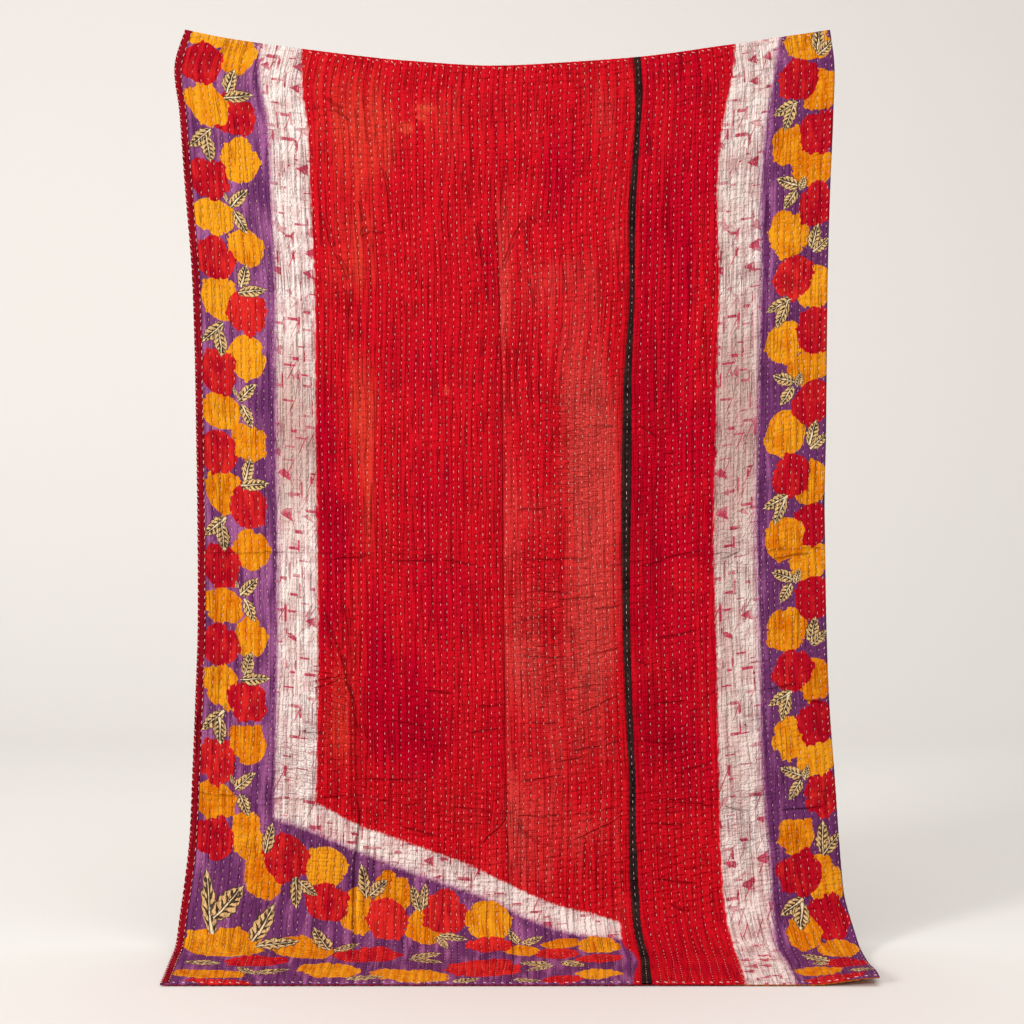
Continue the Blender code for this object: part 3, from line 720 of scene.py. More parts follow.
def leaf_local(shape, x, t):
    """Along the leaf from 0 to 1, and across it, 1 at its widest edge."""
    x0, t0, x1, t1, width = shape
    dx, dt = x1 - x0, t1 - t0
    length = math.hypot(dx, dt)
    along = ((x - x0) * dx + (t - t0) * dt) / length**2
    across = ((x - x0) * dt - (t - t0) * dx) / length / (0.5 * width)
    return along, across


FLOWER_LAYERS, LEAF_LAYERS, FOLD_LAYERS = 2, 3, 4


def add_shapes(obj, x, t, flowers, leaves, folds):
    """The places within each layer's flowers, leaves and folds, which the materials read."""
    orange = [shape for shape in flowers if shape[0] == "orange"]
    red = [shape for shape in flowers if shape[0] == "red"]
    for name, shapes, count, reach, local in (
        ("orange", orange, FLOWER_LAYERS, flower_reach, flower_local),
        ("red", red, FLOWER_LAYERS, flower_reach, flower_local),
        ("leaf", leaves, LEAF_LAYERS, leaf_reach, leaf_local),
        ("fold", folds, FOLD_LAYERS, leaf_reach, leaf_local),
    ):
        for n, layer in enumerate(layered(shapes, count, reach)):
            add_attribute(obj, f"{name}_{n}", nearest_local(layer, reach, local, x, t))


# ---------------------------------------------------------------------------------------------------------------
# Materials
# ---------------------------------------------------------------------------------------------------------------


def linear(*levels):
    """A colour from its 0 to 255 values."""
    shares = (level / 255.0 for level in levels)
    return (*(s / 12.92 if s <= 0.04045 else ((s + 0.055) / 1.055) ** 2.4 for s in shares), 1.0)


class Tree:
    """Short names for the nodes of one material or group."""

    def __init__(self, tree):
        self.tree = tree

    def put(self, socket, value):
        if isinstance(value, bpy.types.NodeSocket):
            self.tree.links.new(value, socket)
        else:
            socket.default_value = value

    def fill(self, sockets, *values):
        for socket, value in zip(sockets, values):
            self.put(socket, value)

    def node(self, kind, *values, **settings):
        """A node with its settings, and the values of its first inputs."""
        node = self.tree.nodes.new(kind)
        for key, value in settings.items():
            setattr(node, key, value)
        self.fill(node.inputs, *values)
        return node

    def calc(self, operation, *values):
        return self.node("ShaderNodeMath", *values, operation=operation).outputs[0]

    add = partialmethod(calc, "ADD")
    sub = partialmethod(calc, "SUBTRACT")
    mul = partialmethod(calc, "MULTIPLY")
    mad = partialmethod(calc, "MULTIPLY_ADD")
    min = partialmethod(calc, "MINIMUM")
    max = partialmethod(calc, "MAXIMUM")
    abs = partialmethod(calc, "ABSOLUTE")
    round = partialmethod(calc, "ROUND")
    more = partialmethod(calc, "GREATER_THAN")
    less = partialmethod(calc, "LESS_THAN")

    def vector(self, operation, *values):
        node = self.node("ShaderNodeVectorMath", *values, operation=operation)
        return node.outputs["Value" if operation == "LENGTH" else "Vector"]

    def split(self, vector):
        return self.node("ShaderNodeSeparateXYZ", vector).outputs

    def join(self, x, y, z):
        return self.node("ShaderNodeCombineXYZ", x, y, z).outputs[0]

    def noise(self, vector, scale, detail=1.0, roughness=0.5):
        return self.node("ShaderNodeTexNoise", vector, 0.0, scale, detail, roughness).outputs[0]

    def ramp(self, value, low, high, start=0.0, end=1.0):
        """start below low, end above high, smooth between."""
        values = (value, low, high, start, end)
        return self.node("ShaderNodeMapRange", *values, interpolation_type="SMOOTHSTEP").outputs[0]

    def mix(self, share, a, b, blend="MIX"):
        node = self.node("ShaderNodeMix", share, data_type="RGBA", blend_type=blend)
        self.fill(node.inputs[6:8], a, b)
        return node.outputs[2]

    def attribute(self, name, output="Vector"):
        return self.node("ShaderNodeAttribute", attribute_name=name).outputs[output]

    def use(self, group, *values):
        return self.node("ShaderNodeGroup", *values, node_tree=group).outputs


def group(name, inputs, outputs):
    """A group's Tree, the sockets that bring its inputs and those that take its outputs, which are all numbers."""
    tree = bpy.data.node_groups.new(name, "ShaderNodeTree")
    for label, kind in inputs.items():
        tree.interface.new_socket(label, in_out="INPUT", socket_type=kind)
    for label in outputs:
        tree.interface.new_socket(label, in_out="OUTPUT", socket_type="NodeSocketFloat")
    return Tree(tree), tree.nodes.new("NodeGroupInput").outputs, tree.nodes.new("NodeGroupOutput").inputs


def flower_group():
    """Inside: 1 within a flower of uneven, lobed outline."""
    t, given, out = group("flower", {"Place": "NodeSocketVector"}, ("Inside",))
    x, y, seed = t.split(given[0])
    flat = t.join(x, y, 0.0)
    place = t.vector("ADD", t.vector("NORMALIZE", flat), t.join(0.0, 0.0, t.mul(seed, 3.7)))
    lobes = t.noise(place, 1.6, 2.0, 0.55)
    teeth = t.noise(place, 11.0, 0.0)
    outline = t.mad(teeth, 0.05, t.mad(lobes, 0.36, 0.80))
    # a step or two cut into the edge
    outline = t.sub(outline, t.ramp(lobes, 0.385, 0.40, 0.09, 0.0))
    outline = t.add(outline, t.ramp(lobes, 0.585, 0.60, 0.0, 0.08))
    inside = t.ramp(t.sub(outline, t.vector("LENGTH", flat)), -0.012, 0.022)
    t.fill(out, t.mul(inside, t.more(seed, 0.5)))
    return t.tree


def leaf_group():
    """Inside: 1 within a leaf. Ink: 1 on its dark lines. Rib: 1 on its pale midrib."""
    t, given, out = group("leaf", {"Place": "NodeSocketVector"}, ("Inside", "Ink", "Rib"))
    a, b, seed = t.split(given[0])
    wobble = t.noise(t.join(a, b, t.mul(seed, 2.3)), 2.4)
    b = t.add(b, t.mad(wobble, 0.5, -0.25))
    side = t.abs(b)
    # an oval, widest below its middle, with a pointed tip and a scalloped edge
    up = t.calc("POWER", t.max(a, 0.0), 0.62)
    down = t.calc("POWER", t.max(t.sub(1.0, a), 0.0), 0.85)
    scallop = t.calc("PINGPONG", t.mul(a, 5.5), 0.5)
    oval = t.mul(t.mul(t.mul(up, down), 2.75), t.mad(scallop, 0.36, 0.82))
    gap = t.sub(oval, side)
    inside = t.ramp(gap, -0.04, 0.03)
    edge = t.ramp(gap, 0.07, 0.15, 1.0, 0.0)
    # side veins slant towards the tip, and the two flanks' veins don't meet
    slant = t.sub(t.mul(a, 6.0), t.mul(side, 1.5))
    vein = t.calc("PINGPONG", t.add(slant, t.mul(t.calc("SIGN", b), 0.23)), 0.5)
    vein = t.less(vein, t.ramp(side, 0.12, 0.75, 0.30, 0.06))
    vein = t.mul(vein, t.mul(t.more(side, 0.10), t.more(gap, 0.16)))
    flank = t.mul(t.less(side, 0.20), t.less(a, 0.86))
    ink = t.max(t.max(vein, flank), edge)
    rib = t.less(side, t.ramp(a, 0.0, 0.9, 0.10, 0.03))
    there = t.mul(t.more(seed, 0.5), t.more(oval, 0.03))
    t.fill(out, t.mul(inside, there), ink, rib)
    return t.tree


def fold_group():
    """A pressed fold, from the place along and across it: its height, and 1 in its dark line of painted shade."""
    inputs = {"Place": "NodeSocketVector", "Stray": "NodeSocketFloat"}
    t, given, out = group("fold", inputs, ("Height", "PaintedShade"))
    a, b, seed = t.split(given[0])
    b = t.add(b, given[1])
    taper = t.mul(t.ramp(a, 0.0, 0.22), t.ramp(a, 0.72, 1.0, 1.0, 0.0))
    taper = t.mul(taper, t.more(seed, 0.5))
    side = t.abs(b)
    line = t.mul(t.ramp(side, 0.0, 0.75, 1.0, 0.0), taper)
    lip = t.mul(t.ramp(t.abs(t.sub(b, 0.9)), 0.0, 0.9, 1.0, 0.0), taper)
    dark = t.mul(t.ramp(side, 0.0, 0.42, 1.0, 0.0), taper)
    t.fill(out, t.sub(t.mul(lip, 0.7), line), dark)
    return t.tree


FLOWER, LEAF, FOLD = flower_group(), leaf_group(), fold_group()

RED = linear(213, 18, 33)
RED_DEEP = linear(192, 0, 35)
RED_LIGHT = linear(229, 62, 47)
# the pale red on the right: faded dye with a painted sheen
RED_FADED_AND_SHEEN = linear(226, 66, 62)
PURPLE = linear(166, 96, 150)
PURPLE_DEEP = linear(112, 54, 106)
WHITE_CLOTH = linear(255, 240, 234)
ORANGE = linear(244, 162, 30)
ORANGE_DEEP = linear(224, 118, 8)
FLOWER_RED = linear(226, 44, 40)
FLOWER_DEEP = linear(184, 12, 34)
MARKS = linear(196, 44, 80)
LEAF_COLOUR = linear(232, 192, 132)
LEAF_RIB = linear(246, 226, 184)
INK = linear(34, 20, 28)


def thin_lines(t, value, width):
    """1 along the lines where a noise crosses its middle value."""
    return t.ramp(t.abs(t.sub(value, 0.5)), 0.0, width, 1.0, 0.0)


def grain(t, flat, across, down, layer, detail=1.0, roughness=0.5):
    """A stretched noise, from how many of its features there are in a metre across the cloth and down it."""
    x, y, _ = t.split(flat)
    return t.noise(t.join(t.mul(x, across), t.mul(y, down), layer), 1.0, detail, roughness)


def weave(t, flat, crinkle=0.0, strength=1.0):
    """Thread, fine creases along the rows and crinkles across them: the height, and 1 along each crease, where
    shade is painted.
    """
    along = grain(t, flat, 165.0, 10.0, 0.0)
    across = grain(t, flat, 34.0, 135.0, 3.0)
    crease = thin_lines(t, grain(t, flat, 88.0, 4.5, 9.0), 0.030)
    crease = t.mul(crease, t.ramp(t.noise(flat, 16.0, 0.0), 0.40, 0.56))
    maze = t.mul(thin_lines(t, across, 0.050), crinkle)
    height = t.mul(along, 1.90 * strength)
    height = t.mad(across, t.mad(crinkle, 1.50 * strength, 2.40 * strength), height)
    height = t.mad(crease, -0.40, height)
    height = t.mad(maze, -0.60, height)
    return height, t.max(crease, t.mul(maze, 0.06))


def pressed(t, flat, height, dark):
    """The height and the dark lines of painted shade with the folds pressed in, and 1 on the lit side of the long
    fold, where a highlight is painted.
    """
    stray = t.noise(flat, 30.0, 1.0, 0.6)
    astray = t.mad(stray, 3.0, -1.5)
    # each pressed fold also brings a dark line of painted shade
    for n in range(FOLD_LAYERS):
        rise, line = t.use(FOLD, t.attribute(f"fold_{n}"), astray)
        height = t.add(rise, height)
        dark = t.max(dark, t.mul(line, 0.10))
    middle, low, _ = t.split(t.attribute("across"))
    down, left, at = t.split(t.attribute("down"))
    gaps = t.ramp(t.noise(flat, 19.0, 0.0), 0.36, 0.52, 0.25, 1.0)
    long = t.mul(t.ramp(at, 1.05, 1.15), t.ramp(at, 1.70, 1.86, 1.0, 0.0))
    for distance, swing, half, share, deep in (
        (middle, 0.010, 0.0030, gaps, 0.7),
        (low, 0.016, 0.0034, gaps, 0.7),
        (t.sub(low, 0.012), 0.018, 0.0026, t.sub(1.15, gaps), 0.5),
        (down, 0.003, 0.0028, t.ramp(at, 0.12, 0.30), 0.9),
        (t.add(left, 0.004), 0.005, 0.0060, long, 1.7),
    ):
        distance = t.add(distance, t.mad(stray, swing, -0.5 * swing))
        side = t.abs(distance)
        line = t.mul(t.ramp(side, 0.0, half, 1.0, 0.0), share)
        height = t.mad(line, -deep, height)
        line = t.mul(t.ramp(side, 0.0, 0.55 * half, 1.0, 0.0), share)
        # painted shade along each crease
        dark = t.max(dark, t.mul(line, 0.12 + 0.38 * deep))
    # the long fold's lit side, where a highlight is painted
    lit = t.ramp(t.abs(t.sub(distance, 0.0075)), 0.0, 0.004, 1.0, 0.0)
    return height, dark, t.mul(lit, long)


COLUMN = 0.0076  # metres across, about
STITCH_HALF = 0.0031  # half the length of a stitch


def stitched(t, height):
    """A height with the dimples that the running stitches pull, and 1 in the shade round each stitch."""
    phase, column, _ = t.split(t.attribute("seam"))
    a = t.mul(t.abs(t.sub(phase, t.round(phase))), PITCH)
    row = t.mul(t.round(t.mul(column, 0.5)), 2.0)
    b = t.mul(t.abs(t.sub(column, row)), COLUMN)
    past = t.max(t.sub(a, STITCH_HALF), 0.0)
    distance = t.calc("SQRT", t.add(t.mul(past, past), t.mul(b, b)))
    dimple = t.ramp(distance, 0.0004, 0.0029, 1.0, 0.0)
    shade = t.ramp(distance, 0.0007, 0.0019, 1.0, 0.0)
    bulge = t.mul(t.ramp(t.sub(a, t.mul(b, 0.6)), 0.0040, 0.0075), t.ramp(b, 0.0, 0.0029, 1.0, 0.0))
    return t.mad(bulge, 0.30, t.mad(dimple, -0.30, height)), shade


def painted_crease_shade(t, colour, depth, share=0.35):
    """A colour with painted shade in the fine creases."""
    return t.mix(t.mul(depth, share), colour, t.mix(1.0, colour, (0.34, 0.22, 0.26, 1.0), "MULTIPLY"))


def grained(t, colour, flat):
    """A colour with the unevenness of worn thread."""
    return t.mix(t.ramp(t.noise(flat, 330.0, 1.0, 0.6), 0.30, 0.50, 0.16, 0.0), colour, (0.02, 0.0, 0.0, 1.0))


def mottled(t, flat, scale, light, dark):
    """A plain cloth's colour."""
    return t.mix(t.ramp(t.noise(flat, scale, 3.0, 0.6), 0.35, 0.7), light, dark)


def red_ground(t, flat, tone_and_painted_light):
    """The red ground, paler and darker in patches, partly worn dye and partly painted light and shade, and in
    streaks down the cloth.
    """
    uneven = t.mad(grain(t, flat, 70.0, 4.0, 1.0, detail=2.0), 1.4, -1.3)
    uneven = t.add(tone_and_painted_light, t.mad(t.noise(flat, 6.5, 1.0, 0.6), 1.2, uneven))
    # painted shade on one side of the crease down the middle, a painted highlight on the other
    middle, _, at = t.split(t.attribute("down"))
    near = t.mul(t.ramp(t.abs(middle), 0.0, 0.07, 1.0, 0.0), t.ramp(at, 0.15, 0.40))
    uneven = t.mad(near, t.ramp(middle, -0.004, 0.003, -0.25, 0.28), uneven)
    # paler towards the right, where a sheen is painted over the faded red
    light = t.mix(t.ramp(t.split(flat)[0], 0.42, 0.62), RED_LIGHT, RED_FADED_AND_SHEEN)
    red = t.mix(t.ramp(uneven, 0.0, 1.1), RED, light)
    red = t.mix(t.ramp(uneven, -1.1, 0.0, 1.0, 0.0), red, RED_DEEP)
    return t.mix(t.ramp(uneven, 1.7, 3.0), red, linear(232, 116, 60))


def band_marks(t, cells, frayed, gate):
    """1 on the marks: each cell of an uneven grid may have an upright, a level and a leaning bar, and a block."""
    near = t.node("ShaderNodeTexVoronoi", cells, 0.0, 1.0, voronoi_dimensions="2D", distance="CHEBYCHEV")
    pick, other, third = t.split(near.outputs["Color"])
    ox, oy, _ = t.split(t.vector("SUBTRACT", cells, near.outputs["Position"]))
    ragged = t.mad(frayed, 0.40, -0.20)

    def bar(off, half, along, reach, chosen):
        wide = t.less(t.abs(off), half)
        return t.mul(t.mul(wide, t.less(t.add(t.abs(along), ragged), reach)), chosen)

    upright = t.sub(ox, t.mad(other, 0.5, -0.10))
    level = t.add(oy, t.mad(third, 0.9, -0.45))
    leaning = t.mad(oy, 0.62, ox)
    wedge = t.mad(ox, 0.38, t.mad(pick, 0.20, 0.04))
    bars = (
        (upright, t.mad(third, 0.07, 0.028), t.add(oy, 0.12), t.mad(other, 0.40, 0.12), t.more(pick, 0.45)),
        (level, t.mad(pick, 0.07, 0.025), t.add(ox, 0.20), t.mad(third, 0.35, 0.16), t.more(other, 0.30)),
        (leaning, 0.035, oy, 0.50, t.more(third, 0.76)),
        (t.add(oy, 0.2), wedge, ox, 0.40, t.less(other, 0.20)),
    )
    marks = bar(*bars[0])
    for row in bars[1:]:
        marks = t.max(marks, bar(*row))
    marks = t.mul(marks, t.ramp(frayed, 0.30, 0.42, 0.45, 1.0))
    return t.mul(marks, t.ramp(gate, 0.40, 0.54, 0.62, 1.0))


def band_ground(t, flat, tone_and_painted_light):
    """The white band: fine lines where its wax cracked, and crimson marks."""
    x, y, _ = t.split(flat)
    gate = t.noise(flat, 24.0)
    white = t.mix(t.ramp(gate, 0.40, 0.70), WHITE_CLOTH, linear(240, 212, 206))
    # where the tone is below zero the white is darker, partly worn dye and partly painted shade
    white = t.mix(t.ramp(tone_and_painted_light, -1.0, -0.1, 0.75, 0.0), white, linear(202, 160, 148))
    down = thin_lines(t, grain(t, flat, 120.0, 4.0, 2.0), 0.050)
    over = thin_lines(t, grain(t, flat, 9.0, 110.0, 4.0, roughness=0.55), 0.040)
    over = t.mul(over, t.ramp(gate, 0.50, 0.60))
    lines = t.max(t.mul(down, t.ramp(gate, 0.35, 0.50)), t.mul(over, 0.8))
    white = t.mix(t.mul(lines, 0.58), white, linear(182, 104, 118))
    aslant = t.join(t.add(t.mul(x, 44.0), t.mul(y, 26.0)), t.mul(y, 4.0), 7.0)
    aslant = thin_lines(t, t.noise(aslant, 1.0, 0.0), 0.022)
    aslant = t.mul(aslant, t.ramp(gate, 0.40, 0.50, 1.0, 0.0))
    cells = t.join(t.mul(x, 33.0), t.mul(y, 25.0), 0.0)
    marks = band_marks(t, cells, grain(t, flat, 330.0, 90.0, 5.0, roughness=0.6), gate)
    return t.mix(t.mul(t.max(marks, t.mul(aslant, 0.75)), 0.92), white, MARKS)


def border_ground(t, flat, tone_and_painted_light):
    """The purple ground, deeper at the lower end and on the right."""
    # the tone patches deepen or pale the purple, partly dye and partly painted light and shade
    worn = t.mad(tone_and_painted_light, -0.35, grain(t, flat, 60.0, 9.0, 6.0, roughness=0.6))
    worn = t.add(worn, t.ramp(t.split(flat)[1], 1.30, 1.55, 0.0, 0.08))
    return t.mix(t.ramp(worn, 0.35, 0.65), PURPLE, PURPLE_DEEP)


def border_print(t, colour, flat, border, tone_and_painted_light):
    """The flowers and the leaves over a colour, where border is 1."""
    x, y, _ = t.split(flat)
    worn = t.ramp(grain(t, flat, 70.0, 22.0, 2.0, roughness=0.6), 0.30, 0.72, -0.25, 0.65)
    # the orange flowers are lighter at the upper left, the red ones deeper at the outer edge
    sunny = t.max(t.ramp(y, 0.45, 0.90, -0.35, 0.05), t.ramp(x, 0.17, 0.24, -0.35, 0.05))
    outer = t.mad(tone_and_painted_light, -0.5, t.ramp(x, 0.04, 0.09, 0.30, 0.0))
    orange, red = (ORANGE, ORANGE_DEEP, sunny), (FLOWER_RED, FLOWER_DEEP, outer)
    for name, (light, deep, more) in (("orange_1", orange), ("red_1", red), ("orange_0", orange), ("red_0", red)):
        place = t.attribute(name)
        chance = t.node("ShaderNodeTexWhiteNoise", noise_dimensions="1D")
        t.put(chance.inputs["W"], t.mul(t.round(t.split(place)[2]), 1.37))
        share = t.add(t.add(worn, t.mad(chance.outputs[0], 0.9, -0.35)), more)
        share = t.min(t.max(share, 0.0), 1.0)
        colour = t.mix(t.mul(t.use(FLOWER, place)[0], border), colour, t.mix(share, light, deep))
    for n in range(LEAF_LAYERS):
        inside, ink, rib = t.use(LEAF, t.attribute(f"leaf_{n}"))
        leaf = t.mix(rib, t.mix(t.mul(ink, 0.92), LEAF_COLOUR, INK), LEAF_RIB)
        colour = t.mix(t.mul(inside, border), colour, leaf)
    return colour


def all_grounds(t, flat, tone_and_painted_light):
    """The three grounds, and 1 where the border has its print. Their edges have bled along the threads."""
    shift = t.mad(grain(t, flat, 300.0, 60.0, 5.0, roughness=0.6), 0.010, -0.005)
    to_red = t.add(t.attribute("to_red", "Fac"), shift)
    to_purple = t.add(t.attribute("to_purple", "Fac"), shift)
    colour = band_ground(t, flat, tone_and_painted_light)
    colour = t.mix(t.ramp(to_purple, -0.004, 0.004), colour, border_ground(t, flat, tone_and_painted_light))
    fringe = t.mul(t.ramp(to_purple, -0.012, -0.001), t.ramp(to_purple, 0.0, 0.006, 1.0, 0.0))
    colour = t.mix(t.mul(fringe, 0.45), colour, linear(190, 120, 160))
    colour = t.mix(t.ramp(to_red, -0.0035, 0.0025), colour, red_ground(t, flat, tone_and_painted_light))
    return colour, t.mul(t.more(to_purple, -0.006), t.less(to_red, 0.0))


def printed(ground, strength, t, flat):
    """The printed cloth, where it has one ground only or all three, and its weave's strength there."""
    tone_and_painted_light = t.attribute("tone_and_painted_light", "Fac")
    if ground is all_grounds:
        colour, border = all_grounds(t, flat, tone_and_painted_light)
    else:
        colour, border = ground(t, flat, tone_and_painted_light), 1.0
    if ground in (all_grounds, border_ground):
        colour = border_print(t, colour, flat, border, tone_and_painted_light)
    height, depth = weave(t, flat, t.attribute("crinkle", "Fac"), strength)
    height, depth, lit = pressed(t, flat, height, t.mul(depth, 0.6))
    height, shade = stitched(t, height)
    # painted shade in the fine creases, the pressed folds and round each stitch
    colour = painted_crease_shade(t, grained(t, colour, flat), t.max(depth, t.mul(shade, 0.16)), 0.6)
    # a painted highlight on the lit side of the long fold
    return t.mix(t.mul(lit, 0.30), colour, t.mix(1.0, colour, (1.5, 2.2, 1.8, 1.0), "MULTIPLY")), height


def black_cloth(t, flat):
    return mottled(t, flat, 24.0, linear(58, 42, 40), linear(36, 24, 24)), weave(t, flat)[0]


def back_cotton(t, flat):
    """Plain deep red, with an orange-brown print near the lower right corner of the face's side."""
    x, y, _ = t.split(flat)
    colour = mottled(t, flat, 14.0, linear(158, 18, 34), linear(140, 13, 31))
    corner = t.mul(t.ramp(x, 0.98, 1.06), t.ramp(y, 1.88, 1.94))
    colour = t.mix(corner, colour, linear(196, 104, 32))
    height, depth = weave(t, flat)
    # painted shade in the fine creases of the back
    return painted_crease_shade(t, grained(t, colour, flat), depth), height


def new_material(name, roughness, specular):
    """A material, its Tree and its shader."""
    material = bpy.data.materials.new(name)
    material.use_nodes = True
    shader = material.node_tree.nodes["Principled BSDF"]
    shader.inputs["Roughness"].default_value = roughness
    shader.inputs["Specular IOR Level"].default_value = specular
    return material, Tree(material.node_tree), shader


def cloth_material(name, roughness, look):
    """A cloth whose colour and height a function gives from the place on the flat cloth."""
    material, t, shader = new_material(name, roughness, 0.03)
    colour, height = look(t, t.attribute("flat"))
    relief_node = t.node("ShaderNodeBump")
    relief_node.inputs["Strength"].default_value = 1.0
    relief_node.inputs["Distance"].default_value = 0.0042
    t.put(relief_node.inputs["Height"], height)
    t.put(shader.inputs["Base Color"], colour)
    t.put(shader.inputs["Normal"], relief_node.outputs[0])
    return material


PRINTED = [
    cloth_material(name, 0.85, partial(printed, ground, strength))
    for name, ground, strength in (
        ("printed_cotton", all_grounds, 0.75),
        ("printed_cotton_red", red_ground, 1.0),
        ("printed_cotton_band", band_ground, 0.62),
        ("printed_cotton_border", border_ground, 0.50),
    )
]
BLACK = cloth_material("black_cotton", 0.88, black_cloth)
BACK = cloth_material("back_cotton", 0.88, back_cotton)
THREAD, _, thread_shader = new_material("cotton_thread", 0.8, 0.15)
thread_shader.inputs["Base Color"].default_value = linear(248, 210, 202)

# ---------------------------------------------------------------------------------------------------------------
# The pieces
# ---------------------------------------------------------------------------------------------------------------

FAR = 9.0  # from a crease that a panel doesn't have
SLOPE = 0.93  # the distance to the slanting band, as a share of the distance straight down to it


def edges_left(x, t):
    """How far each place is inside the purple border and inside the red ground; below zero outside."""
    to_purple = np.maximum(curve(PURPLE_EDGE, t) - x, (t - curve(SLANT_PURPLE, x)) * SLOPE)
    to_red = np.minimum(x - curve(WHITE_EDGE, t), (curve(SLANT_WHITE, x) - t) * SLOPE)
    return to_purple, np.maximum(to_red, x - curve(BORDER_END, t))


def edges_right(x, t):
    return x - curve(PURPLE_START, t), curve(WHITE_START, t) - x


def face_panel(name, node, panel, edges, tones_and_painted_light, crinkles, flowers, leaves):
    """One printed panel, its edges turned in to meet the back."""
    points = bordered(panel.points, panel.middle + panel.normal * TURNED_IN)
    columns, rows = points.shape[:2]
    faces = grid_faces(columns, rows)
    obj = mesh_object(name, points, faces, PRINTED)
    x, t = spread(panel.x), spread(panel.t)
    to_purple, to_red = edges(x, t)
    # a face with one ground only has that ground's own material
    off_red = to_red < -0.010
    grounds = np.zeros(len(faces), np.int32)
    for n, inside in enumerate((to_red > 0.010, off_red & (to_purple < -0.018), off_red & (to_purple > 0.012)), 1):
        grounds[inside.ravel()[faces].all(axis=1)] = n
    obj.data.polygons.foreach_set("material_index", grounds)
    add_uv(obj, columns, rows)
    add_shapes(obj, x, t, flowers, leaves, panel.folds)
    add_attribute(obj, "to_purple", to_purple)
    add_attribute(obj, "to_red", to_red)
    add_attribute(obj, "tone_and_painted_light", patches(tones_and_painted_light, x, t))
    add_attribute(obj, "crinkle", patches(crinkles, x, t))
    across = [t - curve(line, x) for line in panel.across]
    down = [x - curve(line, t) for line, _, _ in panel.down] or [np.full_like(x, FAR)] * 2
    add_attribute(obj, "across", np.stack([*across, np.zeros_like(x)], -1))
    add_attribute(obj, "down", np.stack([*down, t], -1))
    add_attribute(obj, "seam", spread(panel.seam))
    add_flat(obj, x, t)
    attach(obj, "root")
    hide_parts(node)
    return obj


face_left = face_panel(
    "printed_face_left",
    "face_panel_left",
    LEFT,
    edges_left,
    TONES_AND_PAINTED_LIGHT_LEFT,
    CRINKLES_LEFT,
    varied(repeated(FLOWERS_LEFT, FLOWERS_LOW_LEFT, *REPEATS_LEFT), 1),
    varied(repeated(LEAVES_LEFT, LEAVES_LOW_LEFT, *REPEATS_LEFT), 2),
)
face_right = face_panel(
    "printed_face_right",
    "face_panel_right",
    RIGHT,
    edges_right,
    TONES_AND_PAINTED_LIGHT_RIGHT,
    CRINKLES_RIGHT,
    varied(repeated(FLOWERS_RIGHT, FLOWERS_LOW_RIGHT, *REPEATS_RIGHT), 3),
    varied(repeated(LEAVES_RIGHT, LEAVES_LOW_RIGHT, *REPEATS_RIGHT), 4),
)


# The black strip: shares of its width, and its height there.
STRIP_SECTION = np.array([
    (-0.02, 0.0002), (0.0, 0.0012), (0.12, 0.0019), (0.25, 0.0021), (0.38, 0.0018), (0.5, 0.0013),
    (0.62, 0.0018), (0.75, 0.0021), (0.88, 0.0019), (1.0, 0.0012), (1.02, 0.0002),
])
STRIP_MIDDLE = 5  # the place in that section of its row of stitches


def black_strip():
    """The strip over the join of the two panels, and the line of its own row of stitches, which draws it in."""
    across, heights = STRIP_SECTION.T
    v = np.linspace(0.0, LENGTH, STEPS_DOWN)
    a, vv = np.meshgrid(across, v, indexing="ij")
    edges = curve(SECTIONS, vv)[..., 3:]
    middle = middle_surface(edges[..., 0] + (edges[..., 1] - edges[..., 0]) * a, vv)
    beside = np.stack([edges[0, :, 0] - 0.01, edges[0, :, 1] + 0.01])
    normal = grid_normals(middle_surface(beside, np.stack([v, v])))[0]
    uneven = 1.0 + 0.25 * random_field(91, a * 3, vv, 1.0, 0.02)
    points = middle + normal[None] * (heights[:, None] * uneven + 0.0002)[..., None]
    obj = mesh_object("black_strip_cloth", points, grid_faces(*a.shape), [BLACK])
    add_uv(obj, *a.shape)
    add_flat(obj, a * STRIP_WIDTH, vv)
    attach(obj, "root")
    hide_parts("black_strip")
    return obj, middle[STRIP_MIDDLE] + normal * 0.0014, normal


strip, strip_line, strip_normal = black_strip()

RIM_PITCH = 0.0123  # from one stitch round the left edge to the next

# The turned-over left edge, from the back round onto the face: places right of the cloth's left end and in front
# of the middle surface, in millimetres.
TURNED_EDGE = (
    (-1.0, -1.0), (-2.1, 0.3), (-2.0, 1.8), (-0.8, 2.8), (1.2, 2.6), (3.0, 3.1), (5.5, 3.4), (8.0, 3.3),
    (10.5, 2.9), (12.4, 2.5), (13.2, 1.8), (13.3, 0.9),
)


def turned_edge(v, end, right, front):
    """Lines of points round the left edge, the last one on the face first."""
    lines = []
    for n, (offset, forward) in enumerate(metres(TURNED_EDGE)):
        wave = 0.0002 * random_field(171, np.full_like(v, n * 0.6), v, 1.0, 0.009) * (n > 2)
        stray = 0.0007 * random_field(173, np.zeros_like(v), v, 1.0, 0.06) * (n > 8)
        # drawn in where each stitch goes round the edge
        drawn = np.abs(v / RIM_PITCH - 0.5 - np.round(v / RIM_PITCH - 0.5))
        drawn = 0.0014 * (1.0 - smooth(drawn / 0.30)) * (n < 4)
        lines.append(end + right * (offset + stray + drawn)[:, None] + front * (forward + wave)[:, None])
    return np.array(lines)[::-1]


